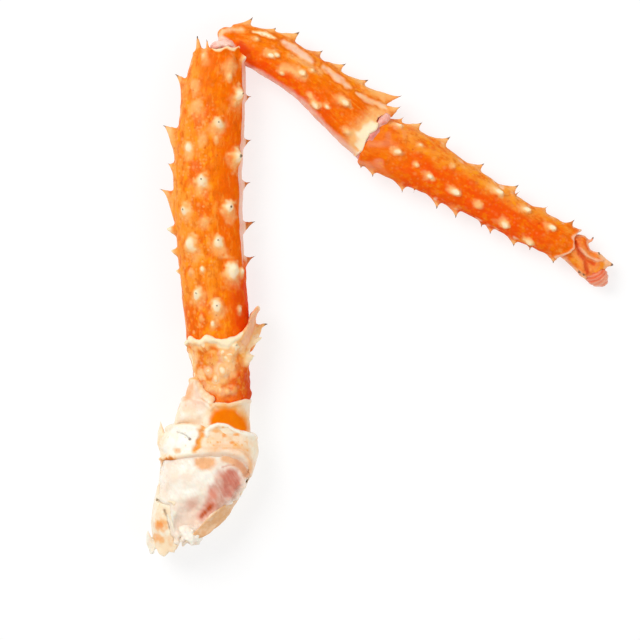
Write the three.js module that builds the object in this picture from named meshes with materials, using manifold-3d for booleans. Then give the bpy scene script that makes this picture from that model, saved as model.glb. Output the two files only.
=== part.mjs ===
// A cooked king crab leg, cut off at the shoulder and bent at the knee, lying on its flat side.
// Millimetres, +Z up. Seen from above, the thigh runs along +Y with the shoulder at -Y, the knee is
// at the far end, and the outer leg slopes down towards +X. The origin is on the surface that the
// leg lies on, below the middle of its outline.
import * as THREE from "three";
import { mergeVertices } from "three/addons/utils/BufferGeometryUtils.js";
import Module from "manifold-3d";

const wasm = await Module();
wasm.setup();

// ---- Driving dimensions ----

const OUTLINE_MIDDLE = [2, 0.5]; // of the numbers below, and moved to the origin
const FIT_GAP = 0.35; // clear space between two pieces that touch
const SHELL_WALL = 1.5; // where a shell is broken open
const SECTION_POWER = 2.3; // 2 is an ellipse; a leg is a little boxier
const SIDES = 18; // of a segment's cross-section
const RING_STEP = 6.5; // length of segment between two cross-sections
const SPINE_SIDES = 5;
const FAR = 400; // larger than the leg, for cutting tools

// A segment follows a curve through its axis points. Half widths lie in the plane of the leg and
// half depths along Z, both at even steps from the segment's shoulder end to its far end.
const SEGMENTS = {
  coxa: {
    axis: [[-67.5, -89.3, 9.6], [-64, -77.3, 10.4], [-60, -65.7, 10.8], [-57.3, -54.7, 11], [-57, -45.7, 11]],
    halfWidth: [8.5, 11.6, 12.9, 14, 15.8, 16.4, 13.6],
    halfDepth: [8, 9.8, 10.9, 11, 10.8, 10.4, 9.8],
  },
  basis: {
    axis: [[-56.7, -55.7, 11], [-55.2, -44, 11], [-53.5, -30, 11.3]],
    halfWidth: [13.4, 12.8, 11.4, 10.2],
    halfDepth: [9, 9.7, 10.2, 10],
  },
  ischium: {
    axis: [[-50.3, -41.3, 11.1], [-52.7, -30, 11.2], [-53.5, -20.7, 11.3], [-53, -10, 11.4]],
    halfWidth: [7.6, 8.6, 9.4, 10, 11.1, 11.7],
    halfDepth: [7.4, 8.6, 9.2, 9.5, 10.3, 10.8],
  },
  merus: {
    axis: [[-53.7, -19, 11.3], [-56, 8.7, 11.1], [-57.3, 31, 10.8], [-56.2, 54.3, 10.5], [-53.3, 80.7, 10.1]],
    halfWidth: [10.5, 10.9, 11.1, 11.6, 11.7, 11.3, 10.4, 8.2],
    halfDepth: [9, 9.4, 9.6, 9.7, 9.6, 9.2, 8.4, 7],
  },
  carpus: {
    axis: [[-53, 83.5, 10.1], [-39.3, 79.3, 9.9], [-26.7, 72, 9.6], [-14, 62, 9.3], [-1.3, 51, 9]],
    halfWidth: [2.4, 6.3, 7.2, 7.5, 8, 8.9, 9.6, 9.8],
    halfDepth: [2.4, 5.2, 6.2, 6.8, 7.1, 7.4, 7.6, 7.4],
  },
  propodus: {
    axis: [[-4, 50, 9], [9, 44.3, 8.9], [26.7, 34.5, 8.2], [45, 23.7, 7.3], [62.7, 15, 6.5]],
    halfWidth: [5.2, 8.8, 9.2, 8.3, 7.3, 6.6, 6.2, 6],
    halfDepth: [3.8, 6.3, 6.5, 6.1, 5.6, 5.1, 4.8, 4.6],
  },
  dactyl: {
    axis: [[61.7, 15.3, 6.4], [67.3, 12, 6.2], [71.8, 8, 5.8], [73.8, 2.2, 5.2]],
    halfWidth: [3.6, 5.5, 5.6, 5, 3.8],
    halfDepth: [3, 4, 4, 3.7, 3],
  },
};

// How far each kind of spine stands out, half the length and half the width of its foot, and how
// many degrees it leans towards the leg's tip.
const SPINE_KINDS = {
  thorn: { height: 5.2, foot: [3.4, 1.9], lean: 22 },
  hook: { height: 3.6, foot: [2.6, 1.6], lean: 22 },
  prickle: { height: 2.8, foot: [1.5, 1.1], lean: 18 },
  corner: { height: 1.6, foot: [2.6, 2.2], lean: 60 },
  knob: { height: 2.8, foot: [2.3, 2], lean: 12 },
  wart: { height: 1.5, foot: [1.6, 1.4], lean: 12 },
};

// Where each spine stands: how far along its segment, from 0 to 1, and the angle around the
// section. The inner side of the bent leg is 0, the top is 90 and the outer side is 180.
const SPINES = {
  merus: {
    thorn: [[0.7, 176], [0.86, 174], [0.485, 176]],
    hook: [[0.335, 172], [0.245, 172]],
    prickle: [
      [0.585, 172], [0.19, 170],
      [0.235, -4], [0.375, -6], [0.545, -4], [0.705, -5], [0.85, -4],
    ],
    corner: [[0.955, 165]],
    knob: [
      [0.94, 65], [0.86, 39], [0.76, 78], [0.67, 124], [0.645, 40], [0.55, 98], [0.435, 54],
      [0.44, 130], [0.3, 121], [0.3, 76], [0.2, 54], [0.145, 116], [0.11, 86], [0.82, 116],
      [0.18, -60], [0.36, -48], [0.54, -60], [0.74, -50], [0.28, -130], [0.5, -125], [0.66, -132],
    ],
    wart: [[0.95, 121], [0.91, 64], [0.2, 130], [0.06, 96], [0.85, -125], [0.88, -60]],
  },
  ischium: {
    prickle: [[0.8, 0], [0.56, 4], [0.9, -6]],
    knob: [[0.72, 62], [0.43, 86], [0.6, -60]],
    wart: [[0.6, 80], [0.44, 114], [0.3, 104], [0.45, -120]],
  },
  carpus: {
    thorn: [[0.35, 174], [0.93, 166]],
    hook: [[0.125, 170], [0.505, 172], [0.625, 174], [0.765, 170]],
    prickle: [[0.25, 172], [0.985, 152]],
    wart: [[0.34, 88], [0.66, 58], [0.89, 57], [0.31, -88]],
    knob: [[0.53, 87], [0.7, 54], [0.79, 96], [0.45, -60], [0.62, -105], [0.8, -60], [0.87, -120]],
  },
  propodus: {
    thorn: [[0.67, 174], [0.365, 174]],
    hook: [
      [0.25, 172], [0.525, 172], [0.825, 172],
      [0.105, 3], [0.295, 3], [0.445, 3], [0.53, 3], [0.775, 3],
    ],
    prickle: [[0.165, 168], [0.96, 165], [0.04, 5], [0.4, 20], [0.66, 4], [0.85, 18], [0.96, 5]],
    knob: [
      [0.255, 87], [0.54, 68], [0.625, 70], [0.65, 127], [0.74, 59], [0.79, 124], [0.425, 72],
      [0.24, -70], [0.45, -110], [0.62, -65], [0.8, -112],
    ],
    wart: [[0.36, 78], [0.92, 109], [0.85, 40], [0.195, 145], [0.93, -70], [0.33, -118]],
  },
  dactyl: { prickle: [[0.34, 172], [0.78, 174], [0.56, 130]] },
};

// The shoulder's shell is broken open on top by two round bites, and cut off at the near end.
const BITES = [
  { middle: [-57.5, -66.5, 24], radii: [14.4, 12.2, 12] },
  { middle: [-62, -80, 24], radii: [8.5, 12, 12] },
];
const CUT_OFF = { point: [-67, -86.2, 10], facing: [-0.3, -1, 0] };
const SIDE_SPUR = { middle: [-73.2, -50.2, 8], radii: [1.5, 5.4, 4], turn: 4 };
const LOOSE_MEAT = { middle: [-63.6, -84.2, 10], radii: [4.6, 4.4, 4.2], turn: -20 };

// The basis ends in a rim that slopes, and a lobe of it reaches up the outer side.
const BASIS_RIM = { point: [-52, -37.8, 11], facing: [-0.12, 1, 0] };
const BASIS_LOBE = { middle: [-62.3, -38.2, 11.5], radii: [3.8, 9.4, 7.5], turn: -20 };
const ISCHIUM_RIM = { point: [-53, -13.6, 11], facing: [-0.36, 1, 0] };

const KNEE_SKIN = { middle: [-50.5, 77, 10], radii: [6.4, 7, 5], turn: -20 };
const WRIST_SKIN = { middle: [-2.4, 50.4, 9], radii: [3.6, 8.7, 6.6], turn: -38 };
const TOE_BREAK = { point: [74.2, 3.8, 6], facing: [0.45, -1, 0] };

const MATERIALS = {
  orange_shell: material(0xf2762a, 0.32),
  pale_shell: material(0xf6dcae, 0.4),
  soft_skin: material(0xf3b9a4, 0.35),
  meat: material(0xf6e8d8, 0.45),
};

// ---- Shapes ----

function material(color, roughness) {
  return new THREE.MeshStandardMaterial({ color, roughness, metalness: 0 });
}

function vector(numbers) {
  return new THREE.Vector3(...numbers);
}

// The value at t, from 0 to 1, of numbers at even steps.
function along(numbers, t) {
  const steps = numbers.map((value, i) => new THREE.Vector2(i, value));
  return new THREE.SplineCurve(steps).getPoint(THREE.MathUtils.clamp(t, 0, 1)).y;
}

// A segment's cross-section at t: its centre, and the directions forwards, sideways and upwards.
function sectionOf(segment, t) {
  const axis = new THREE.CatmullRomCurve3(segment.axis.map(vector), false, "catmullrom");
  const forward = axis.getTangent(t);
  const side = new THREE.Vector3(forward.y, -forward.x, 0).normalize();
  const up = new THREE.Vector3().crossVectors(side, forward);
  return { centre: axis.getPoint(t), forward, side, up };
}

// A point of a segment's skin, and the direction that faces out of it there.
function skinPoint(segment, t, around, grow = 0) {
  const { centre, forward, side, up } = sectionOf(segment, t);
  const width = along(segment.halfWidth, t) + grow;
  const depth = along(segment.halfDepth, t) + grow;
  const [c, s] = [Math.cos(around), Math.sin(around)];
  const reach = (Math.abs(c) ** SECTION_POWER + Math.abs(s) ** SECTION_POWER) ** (-1 / SECTION_POWER);
  const point = centre
    .clone()
    .addScaledVector(side, width * reach * c)
    .addScaledVector(up, depth * reach * s);
  const steep = SECTION_POWER - 1;
  const outward = side
    .clone()
    .multiplyScalar((Math.sign(c) * Math.abs(c) ** steep) / width)
    .addScaledVector(up, (Math.sign(s) * Math.abs(s) ** steep) / depth)
    .normalize();
  return { centre, point, outward, forward };
}

// A segment without its spines: a cylinder whose rings are laid along the segment's curve, made
// wider by grow all round and longer by longer at both ends.
function bodyOf(segment, grow = 0, longer = 0) {
  const length = vector(segment.axis[0]).distanceTo(vector(segment.axis.at(-1)));
  const geometry = new THREE.CylinderGeometry(1, 1, 1, SIDES, Math.ceil(length / RING_STEP));
  const place = geometry.attributes.position;
  for (let i = 0; i < place.count; i++) {
    const t = place.getY(i) + 0.5;
    const across = Math.hypot(place.getX(i), place.getZ(i));
    const around = Math.atan2(place.getZ(i), place.getX(i));
    const { centre, point, forward } = skinPoint(segment, t, around, grow);
    const beyondEnd = Math.abs(t - 0.5) > 0.499 ? longer * Math.sign(t - 0.5) : 0;
    centre.lerp(point, across).addScaledVector(forward, beyondEnd);
    place.setXYZ(i, centre.x, centre.y, centre.z);
  }
  return solidOf(geometry);
}

// One spine: a cone on an oval foot, which stands on the skin and leans towards the leg's tip.
function spineOn(segment, t, degreesAround, { height, foot, lean }, grow) {
  const around = THREE.MathUtils.degToRad(degreesAround);
  const { point, outward, forward } = skinPoint(segment, t, around);
  const across = new THREE.Vector3().crossVectors(forward, outward).normalize();
  const level = new THREE.Vector3().crossVectors(outward, across);
  const sunk = foot[1];
  const rise = height + sunk + 2 * grow;
  const geometry = new THREE.ConeGeometry(1, rise, SPINE_SIDES);
  geometry.translate(0, rise / 2, 0);
  geometry.scale(foot[0] + grow, 1, foot[1] + grow);
  geometry.applyMatrix4(
    new THREE.Matrix4().makeShear(0, 0, Math.tan(THREE.MathUtils.degToRad(lean)), 0, 0, 0),
  );
  geometry.translate(0, -sunk, 0);
  geometry.applyMatrix4(new THREE.Matrix4().makeBasis(level, outward, across));
  geometry.translate(point.x, point.y, point.z);
  return solidOf(geometry);
}

// A whole segment: its body and its spines, with every surface moved out by grow.
function segmentSolid(name, grow = 0) {
  const segment = SEGMENTS[name];
  const spines = Object.entries(SPINES[name] ?? {}).flatMap(([kind, places]) =>
    places.map(([t, around]) => spineOn(segment, t, around, SPINE_KINDS[kind], grow)),
  );
  return wasm.Manifold.union([bodyOf(segment, grow, grow), ...spines]);
}

function ellipsoid({ middle, radii, turn = 0 }, grow = 0) {
  const geometry = new THREE.SphereGeometry(1, 14, 8);
  geometry.rotateX(Math.PI / 2);
  geometry.scale(...radii.map((radius) => radius + grow));
  geometry.rotateZ(THREE.MathUtils.degToRad(turn));
  geometry.translate(...middle);
  return solidOf(geometry);
}

// Everything past a point, on the side that a direction faces.
function past({ point, facing }) {
  const geometry = new THREE.BoxGeometry(FAR, FAR, FAR);
  geometry.translate(0, 0, FAR / 2);
  const up = new THREE.Vector3(0, 0, 1);
  geometry.applyQuaternion(new THREE.Quaternion().setFromUnitVectors(up, vector(facing).normalize()));
  geometry.translate(...point);
  return solidOf(geometry);
}

// ---- From geometry to solids and back ----

function solidOf(geometry) {
  const bare = geometry.clone();
  bare.deleteAttribute("normal");
  bare.deleteAttribute("uv");
  const merged = mergeVertices(bare, 1e-4);
  return new wasm.Manifold(
    new wasm.Mesh({
      numProp: 3,
      vertProperties: merged.attributes.position.array,
      triVerts: new Uint32Array(merged.index.array),
    }),
  );
}

// The largest body of a solid that a cut may have left in pieces.
function largest(solid) {
  return solid.decompose().reduce((a, b) => (b.volume() > a.volume() ? b : a));
}

function node(name, solid, finish) {
  const { numProp, numVert, vertProperties, triVerts } = largest(solid).getMesh();
  const points = new Float32Array(numVert * 3);
  for (let i = 0; i < numVert; i++)
    points.set(vertProperties.subarray(i * numProp, i * numProp + 3), i * 3);
  const geometry = new THREE.BufferGeometry();
  geometry.setAttribute("position", new THREE.BufferAttribute(points, 3));
  geometry.setIndex(new THREE.BufferAttribute(triVerts, 1));
  geometry.translate(-OUTLINE_MIDDLE[0], -OUTLINE_MIDDLE[1], 0);
  geometry.computeVertexNormals();
  const mesh = new THREE.Mesh(geometry, MATERIALS[finish]);
  mesh.name = name;
  return mesh;
}

// ---- The leg, from the shoulder to the tip ----

const names = Object.keys(SEGMENTS);
const whole = Object.fromEntries(names.map((name) => [name, segmentSolid(name)]));
const room = Object.fromEntries(names.map((name) => [name, segmentSolid(name, FIT_GAP)]));
const hollow = (name) => bodyOf(SEGMENTS[name], FIT_GAP - SHELL_WALL, FIT_GAP);
const filling = (name) => bodyOf(SEGMENTS[name], -SHELL_WALL);
const underground = past({ point: [0, 0, 0], facing: [0, 0, -1] });

const basisRoom = room.basis.add(ellipsoid(BASIS_LOBE, FIT_GAP));
const coxaShell = whole.coxa
  .add(ellipsoid(SIDE_SPUR))
  .subtract(hollow("coxa"))
  .subtract(ellipsoid(BITES[0]))
  .subtract(ellipsoid(BITES[1]))
  .subtract(ellipsoid(LOOSE_MEAT, FIT_GAP))
  .subtract(basisRoom)
  .subtract(past(CUT_OFF));
const shoulderMeat = filling("coxa")
  .subtract(basisRoom)
  .subtract(ellipsoid(LOOSE_MEAT, FIT_GAP))
  .subtract(past(CUT_OFF));

const basis = whole.basis
  .subtract(past(BASIS_RIM))
  .add(ellipsoid(BASIS_LOBE))
  .subtract(room.ischium);
const ischium = whole.ischium.subtract(past(ISCHIUM_RIM)).subtract(room.merus);

const kneeSkin = ellipsoid(KNEE_SKIN).subtract(room.carpus);
const merus = whole.merus.subtract(room.carpus).subtract(ellipsoid(KNEE_SKIN, FIT_GAP));
const wristSkin = ellipsoid(WRIST_SKIN).subtract(room.propodus);
const carpus = whole.carpus.subtract(room.propodus).subtract(ellipsoid(WRIST_SKIN, FIT_GAP));
const propodus = whole.propodus.subtract(room.dactyl);

const dactyl = whole.dactyl.subtract(hollow("dactyl")).subtract(past(TOE_BREAK));

const pieces = [
  ["coxa_shell", coxaShell, "pale_shell"],
  ["shoulder_meat", shoulderMeat, "meat"],
  ["loose_meat", ellipsoid(LOOSE_MEAT), "meat"],
  ["basis", basis, "pale_shell"],
  ["ischium", ischium, "orange_shell"],
  ["merus", merus, "orange_shell"],
  ["knee_skin", kneeSkin, "soft_skin"],
  ["carpus", carpus, "orange_shell"],
  ["wrist_skin", wristSkin, "soft_skin"],
  ["propodus", propodus, "orange_shell"],
  ["dactyl", dactyl, "orange_shell"],
  ["toe_flesh", filling("dactyl"), "meat"],
];

const leg = new THREE.Group();
for (const [name, solid, finish] of pieces) leg.add(node(name, solid.subtract(underground), finish));

export default leg;
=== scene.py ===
# The visible model of a cooked king crab leg, which lies on its flat side.
# Shapes are worked out in millimetres, in the frame of the leg's own axis numbers. They are moved by
# OUTLINE_MIDDLE and turned into metres when a mesh is made.
import math
from itertools import product
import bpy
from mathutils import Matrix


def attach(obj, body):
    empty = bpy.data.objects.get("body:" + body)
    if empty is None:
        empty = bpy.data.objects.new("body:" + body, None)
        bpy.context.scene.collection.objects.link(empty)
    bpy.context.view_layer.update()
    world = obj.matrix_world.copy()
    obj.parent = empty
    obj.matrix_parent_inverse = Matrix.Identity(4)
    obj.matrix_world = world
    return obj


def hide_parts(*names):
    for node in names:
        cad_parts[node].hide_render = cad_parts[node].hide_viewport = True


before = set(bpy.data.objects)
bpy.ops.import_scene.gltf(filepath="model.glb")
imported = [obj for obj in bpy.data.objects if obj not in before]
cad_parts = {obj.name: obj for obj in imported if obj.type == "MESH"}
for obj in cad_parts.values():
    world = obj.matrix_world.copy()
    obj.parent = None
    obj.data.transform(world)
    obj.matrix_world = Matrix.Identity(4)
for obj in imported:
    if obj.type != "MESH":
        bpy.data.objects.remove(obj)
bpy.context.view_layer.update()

from types import SimpleNamespace

import bpy
import numpy as np
import openvdb as vdb
from mathutils import Vector

# ---- Driving dimensions, in millimetres ----

METRES = 0.001
OUTLINE_MIDDLE = np.array([2.0, 0.5, 0.0])
SECTION_POWER = 2.3  # 2 is an ellipse; a leg is a little boxier
SHELL_WALL = 1.5
PLACES = 240  # along a segment's curve
AT_ONCE = 20000  # points that are placed on a curve in one go

# Half widths lie in the plane of the leg and half depths along Z, at even steps from the shoulder
# end of a segment to its far end.
SEGMENTS = {
    "coxa": {
        "axis": [(-67.5, -89.3, 9.6), (-64, -77.3, 10.4), (-60, -65.7, 10.8), (-57.3, -54.7, 11),
                 (-57, -45.7, 11)],
        "half_width": [8.5, 11.6, 12.9, 14, 15.8, 16.4, 13.6],
        "half_depth": [8, 9.8, 10.9, 11, 10.8, 10.4, 9.8],
    },
    "basis": {
        "axis": [(-56.7, -55.7, 11), (-55.2, -44, 11), (-53.5, -30, 11.3)],
        "half_width": [13.4, 12.8, 11.4, 10.2],
        "half_depth": [9, 9.7, 10.2, 10],
    },
    "ischium": {
        "axis": [(-50.3, -41.3, 11.1), (-52.7, -30, 11.2), (-53.5, -20.7, 11.3), (-53, -10, 11.4)],
        "half_width": [7.6, 8.6, 9.4, 10, 11.1, 11.7],
        "half_depth": [7.4, 8.6, 9.2, 9.5, 10.3, 10.8],
    },
    "merus": {
        "axis": [(-53.7, -19, 11.3), (-56, 8.7, 11.1), (-57.3, 31, 10.8), (-56.2, 54.3, 10.5),
                 (-53.3, 80.7, 10.1)],
        "half_width": [10.5, 10.9, 11.1, 11.6, 11.7, 11.3, 10.4, 8.2],
        "half_depth": [9, 9.4, 9.6, 9.7, 9.6, 9.2, 8.4, 7],
    },
    "carpus": {
        "axis": [(-53, 83.5, 10.1), (-39.3, 79.3, 9.9), (-26.7, 72, 9.6), (-14, 62, 9.3),
                 (-1.3, 51, 9)],
        "half_width": [2.4, 6.3, 7.2, 7.5, 8, 8.9, 9.6, 9.8],
        "half_depth": [2.4, 5.2, 6.2, 6.8, 7.1, 7.4, 7.6, 7.4],
    },
    "propodus": {
        "axis": [(-4, 50, 9), (9, 44.3, 8.9), (26.7, 34.5, 8.2), (45, 23.7, 7.3), (62.7, 15, 6.5)],
        "half_width": [8.6, 9.4, 9.2, 8.3, 7.3, 6.6, 6.2, 6],
        "half_depth": [6.6, 6.8, 6.5, 6.1, 5.6, 5.1, 4.8, 4.6],
    },
    "dactyl": {
        "axis": [(61.7, 15.3, 6.4), (67.3, 12, 6.2), (71.8, 8, 5.8), (73.8, 2.2, 5.2)],
        "half_width": [3.6, 5.5, 5.6, 5, 3.8],
        "half_depth": [3, 4, 4, 3.7, 3],
    },
}

# How a spine of each kind is built: half the length and half the width of the oval foot that it
# stands on and how far its tip leans forwards, all in parts of its height, and its taper. A taper
# over 1 makes it thin and hollow-sided, and one under 1 makes it a dome. Cream is how pale it is, halo
# is how far, in millimetres, a lighter colour spreads round it, and dark is how many of its kind have
# a dark tip.
SPINE_TRAITS = ("long", "wide", "lean", "taper", "cream", "halo", "dark")
SPINE_KINDS = {
    "thorn": (1.05, 0.42, 1.2, 1.8, 0.5, 1.6, 1.0),
    "claw": (0.72, 0.45, 0.85, 1.5, 0.4, 1.0, 1.0),
    "fang": (0.85, 0.38, 1.2, 1.5, 0.35, 1.2, 1.0),
    "needle": (0.34, 0.26, 0.45, 1.2, 0.1, 0.6, 1.0),
    "tooth": (0.75, 0.6, 0.35, 1.15, 1.0, 1.5, 0.0),
    "nub": (0.62, 0.52, 0.25, 0.8, 1.0, 1.2, 0.0),
    "peak": (0.9, 0.8, 0.15, 1.25, 1.0, 2.4, 1.0),
    "knob": (1.4, 1.2, 0.45, 1.0, 1.0, 2.4, 1.0),
    "dome": (1.5, 1.2, 0.35, 0.95, 1.0, 2.2, 0.0),
    "drop": (1.05, 0.8, 0.9, 1.0, 1.0, 1.2, 0.0),
    "bud": (1.5, 1.0, 0.9, 1.0, 1.0, 1.2, 1.0),
    "mound": (2.6, 2.2, 0.2, 0.7, 0.22, 1.6, 0.0),
    "wart": (1.3, 1.1, 0.35, 0.9, 0.9, 0.8, 0.0),
}
POINTED = 1.1  # a spine with a larger taper than this comes to a fine point

# Each spine's tip: how far along its segment, from 0 to 1, the angle around the section in degrees,
# and the height in millimetres, which is how far the tip stands out of the bare segment. The inner
# side of the bent leg is 0, the top is 90 and the outer side is 180.
SPINES = {
    "merus": {
        "thorn": [(0.889, 176, 4.1), (0.722, 176, 5.1), (0.519, 176, 4.7)],
        "claw": [(0.602, 174, 2.3)],
        "nub": [(0.388, 172, 3.0), (0.304, 172, 2.3), (0.233, 172, 1.3)],
        "needle": [(0.849, -4, 1.9), (0.698, -4, 2.6), (0.549, -4, 2.5), (0.399, -4, 3.8), (0.277, -4, 3.6)],
        "peak": [(0.855, 42, 2.9), (0.64, 41, 3.0), (0.45, 55, 2.6)],
        "knob": [
            (0.747, 77, 1.8), (0.551, 99, 1.9), (0.451, 128, 1.5), (0.329, 76, 1.6), (0.165, 118, 1.5),
            (0.123, 86, 1.7), (0.36, -48, 1.8), (0.74, -50, 1.8), (0.5, -125, 1.7), (0.84, -95, 1.9),
        ],
        "dome": [
            (0.662, 124, 1.4), (0.326, 121, 1.7), (0.229, 54, 2.3), (0.18, -60, 2.0), (0.54, -60, 2.1),
            (0.28, -130, 1.9), (0.66, -132, 2.0), (0.42, -92, 1.8), (0.12, -100, 1.6),
        ],
        "mound": [(0.941, 64, 1.1), (0.803, 116, 0.9), (0.7, 100, 0.5), (0.4, 96, 0.5)],
        "wart": [
            (0.904, 63, 1.0), (0.975, 27, 1.4), (0.823, 49, 0.7), (0.7, 79, 0.8), (0.217, 36, 1.3),
            (0.104, 45, 1.0), (0.068, 96, 0.9), (0.088, 115, 0.7), (0.226, 128, 0.8), (0.233, 106, 0.8),
            (0.96, 122, 0.8), (0.85, -125, 1.0), (0.88, -60, 1.0), (0.6, -95, 0.9), (0.26, -85, 0.8),
        ],
    },
    "ischium": {
        "thorn": [(0.965, -8, 4.0)],
        "tooth": [(0.9, 172, 2.0)],
        "bud": [(0.73, 60, 1.3)],
        "dome": [(0.459, 86, 1.3), (0.65, -60, 1.5), (0.4, -110, 1.4)],
        "wart": [
            (0.62, 84, 1.1), (0.58, 78, 1.0), (0.55, 71, 1.2), (0.465, 113, 1.0), (0.36, 101, 0.9),
            (0.24, 97, 0.9), (0.22, 82, 1.0), (0.23, 66, 0.9), (0.45, -60, 0.9), (0.7, -110, 1.0),
        ],
    },
    "carpus": {
        "claw": [
            (0.131, 174, 3.2), (0.246, 172, 1.6), (0.354, 174, 3.9), (0.501, 174, 2.6), (0.628, 174, 3.2),
            (0.773, 172, 3.0),
        ],
        "fang": [(0.964, 168, 6.0)],
        "thorn": [(1.0, 150, 2.8)],
        "drop": [
            (0.306, 85, 1.3), (0.335, 93, 1.2), (0.508, 88, 1.7), (0.669, 52, 1.9), (0.782, 96, 2.1),
            (0.45, -60, 1.7), (0.62, -105, 1.8), (0.8, -60, 1.7), (0.87, -120, 1.6), (0.3, -100, 1.5),
        ],
        "wart": [
            (0.629, 58, 0.9), (0.723, 66, 0.6), (0.883, 57, 1.1), (0.14, 23, 1.4), (0.2, 110, 0.9),
            (0.42, 60, 0.7), (0.55, 108, 0.7), (0.4, -60, 0.8), (0.7, -90, 0.9),
        ],
    },
    "propodus": {
        "claw": [
            (0.124, 168, 1.9), (0.208, 172, 3.0), (0.34, 174, 3.8), (0.516, 174, 2.9), (0.683, 174, 3.6),
            (0.849, 172, 2.2), (0.086, 5, 2.0), (0.28, 3, 2.9), (0.441, 3, 2.8), (0.522, 3, 2.9),
            (0.684, 3, 2.3), (0.793, 3, 2.5), (0.985, 5, 2.0),
        ],
        "needle": [
            (0.704, 150, 1.7), (0.985, 163, 2.2), (0.022, 6, 1.4), (0.346, 25, 1.2), (0.65, 12, 1.7),
            (0.861, 22, 1.4),
        ],
        "drop": [
            (0.138, 140, 1.5), (0.194, 87, 1.8), (0.372, 72, 1.4), (0.495, 69, 1.8), (0.634, 126, 1.9),
            (0.788, 125, 1.8), (0.923, 111, 1.6), (0.73, 57, 1.5), (0.24, -70, 1.6), (0.45, -110, 1.8),
            (0.62, -65, 1.7), (0.8, -112, 1.6),
        ],
        "wart": [
            (0.305, 80, 0.9), (0.601, 68, 1.1), (0.853, 40, 1.3), (0.44, 118, 0.6),
            (0.28, 120, 0.6), (0.93, -70, 1.0), (0.33, -118, 1.0), (0.55, -90, 0.8),
        ],
    },
}
FILLET = 0.8  # where a blunt spine meets the shell
SHARP_FILLET = 1.4  # where a pointed spine meets it
SMALLEST_RADIUS = 0.16  # of a spine's tip before it is drawn out
FINEST_RADIUS = 0.07  # of a pointed spine's tip once it is drawn out
SHARPEN_FROM = 0.4  # of a spine's height, from which it is drawn out
LIP_INSET = 0.3  # from a segment's skin to the middle of the lip at its end
# The fields of round shapes divide by these at the least, which only matters deep inside them.
LEAST_RHO = 0.05
LEAST_STEEP = 0.001

# ---- Camera, light and floor ----

IMAGE_SPAN = 213.3  # what the picture's side covers, at the height of the leg's middle
IMAGE_MIDDLE = (-22.0, -11.17)
CAMERA_HEIGHT = 1000.0
LEG_MIDDLE_HEIGHT = 12.0
SENSOR_WIDTH = 36.0
# Each lamp's place and side, in metres, and its power in watts.
LAMPS = {"key": ((-0.55, 0.45, 0.9), 0.6, 7.2), "fill": ((0.7, -0.3, 0.8), 0.9, 2.8)}
SKY_STRENGTH = 0.5
FLOOR_REACH = 3.0  # metres from the middle to each side
FLOOR_COLOR = (0.3, 0.3, 0.3, 1)
FLOOR_GLOW = 0.71  # keeps the floor pale where the lamps don't reach
WHITE = (1, 1, 1, 1)


def add_to_scene(name, data):
    thing = bpy.data.objects.new(name, data)
    bpy.context.scene.collection.objects.link(thing)
    return thing


def make_camera():
    data = bpy.data.cameras.new("camera")
    data.sensor_width = SENSOR_WIDTH
    data.lens = SENSOR_WIDTH * (CAMERA_HEIGHT - LEG_MIDDLE_HEIGHT) / IMAGE_SPAN
    camera = add_to_scene("camera", data)
    camera.location = Vector((*IMAGE_MIDDLE, CAMERA_HEIGHT)) * METRES
    bpy.context.scene.camera = camera


def make_floor():
    corners = [(x * FLOOR_REACH, y * FLOOR_REACH, 0) for x, y in ((-1, -1), (1, -1), (1, 1), (-1, 1))]
    mesh = bpy.data.meshes.new("floor")
    mesh.from_pydata(corners, [], [(0, 1, 2, 3)])
    material = bpy.data.materials.new("floor")
    material.use_nodes = True
    shader = material.node_tree.nodes["Principled BSDF"]
    shader.inputs["Base Color"].default_value = FLOOR_COLOR
    shader.inputs["Emission Color"].default_value = WHITE
    shader.inputs["Emission Strength"].default_value = FLOOR_GLOW
    shader.inputs["Roughness"].default_value = 0.9
    shader.inputs["Specular IOR Level"].default_value = 0.1
    mesh.materials.append(material)
    add_to_scene("floor", mesh)


def light_the_scene():
    world = bpy.data.worlds.new("studio")
    world.use_nodes = True
    sky = world.node_tree.nodes["Background"]
    sky.inputs["Color"].default_value = WHITE
    sky.inputs["Strength"].default_value = SKY_STRENGTH
    bpy.context.scene.world = world
    for name, (place, side, power) in LAMPS.items():
        data = bpy.data.lights.new(name, "AREA")
        data.size = side
        data.energy = power
        lamp = add_to_scene(name, data)
        lamp.location = place
        lamp.rotation_euler = (-Vector(place)).to_track_quat("-Z", "Y").to_euler()
    bpy.context.scene.view_settings.view_transform = "Standard"


# ---- Numbers and noise ----

FAR_AWAY = 1e9
FAR_OUTSIDE = 5.0  # a field's value where nothing is near
CELL_FACTORS = (73856093, 19349663, 83492791)  # large numbers, which scatter a cell's three places
SCATTER_FACTOR = 1274126177
LUMPS_APART = 31.7  # how many cells the noise of one seed lies from that of the next
PEBBLES_APART = 17.3


def spline(values, t, straight_ends):
    """The smooth curve through values at even steps, at each t from 0 to 1."""
    v = np.asarray(values, float)
    first = 2 * v[0] - v[1] if straight_ends else v[0]
    last = 2 * v[-1] - v[-2] if straight_ends else v[-1]
    v = np.concatenate([[first], v, [last]])
    place = np.clip(t, 0, 1) * (len(values) - 1)
    i = np.minimum(place.astype(int), len(values) - 2)
    f = (place - i).reshape((-1,) + (1,) * (v.ndim - 1))
    a, b, c, d = v[i], v[i + 1], v[i + 2], v[i + 3]
    return 0.5 * (2 * b + (c - a) * f + (2 * a - 5 * b + 4 * c - d) * f**2 + (3 * b - a - 3 * c + d) * f**3)


def ease(value, start, end):
    """0 at start, 1 at end and smooth between them; start may be the larger."""
    share = np.clip((value - start) / (end - start), 0, 1)
    return share * share * (3 - 2 * share)


def band(value, low, high, soft):
    """1 from low to high, and 0 beyond a soft edge on either side."""
    return ease(value, low - soft, low) * ease(value, high + soft, high)


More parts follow.
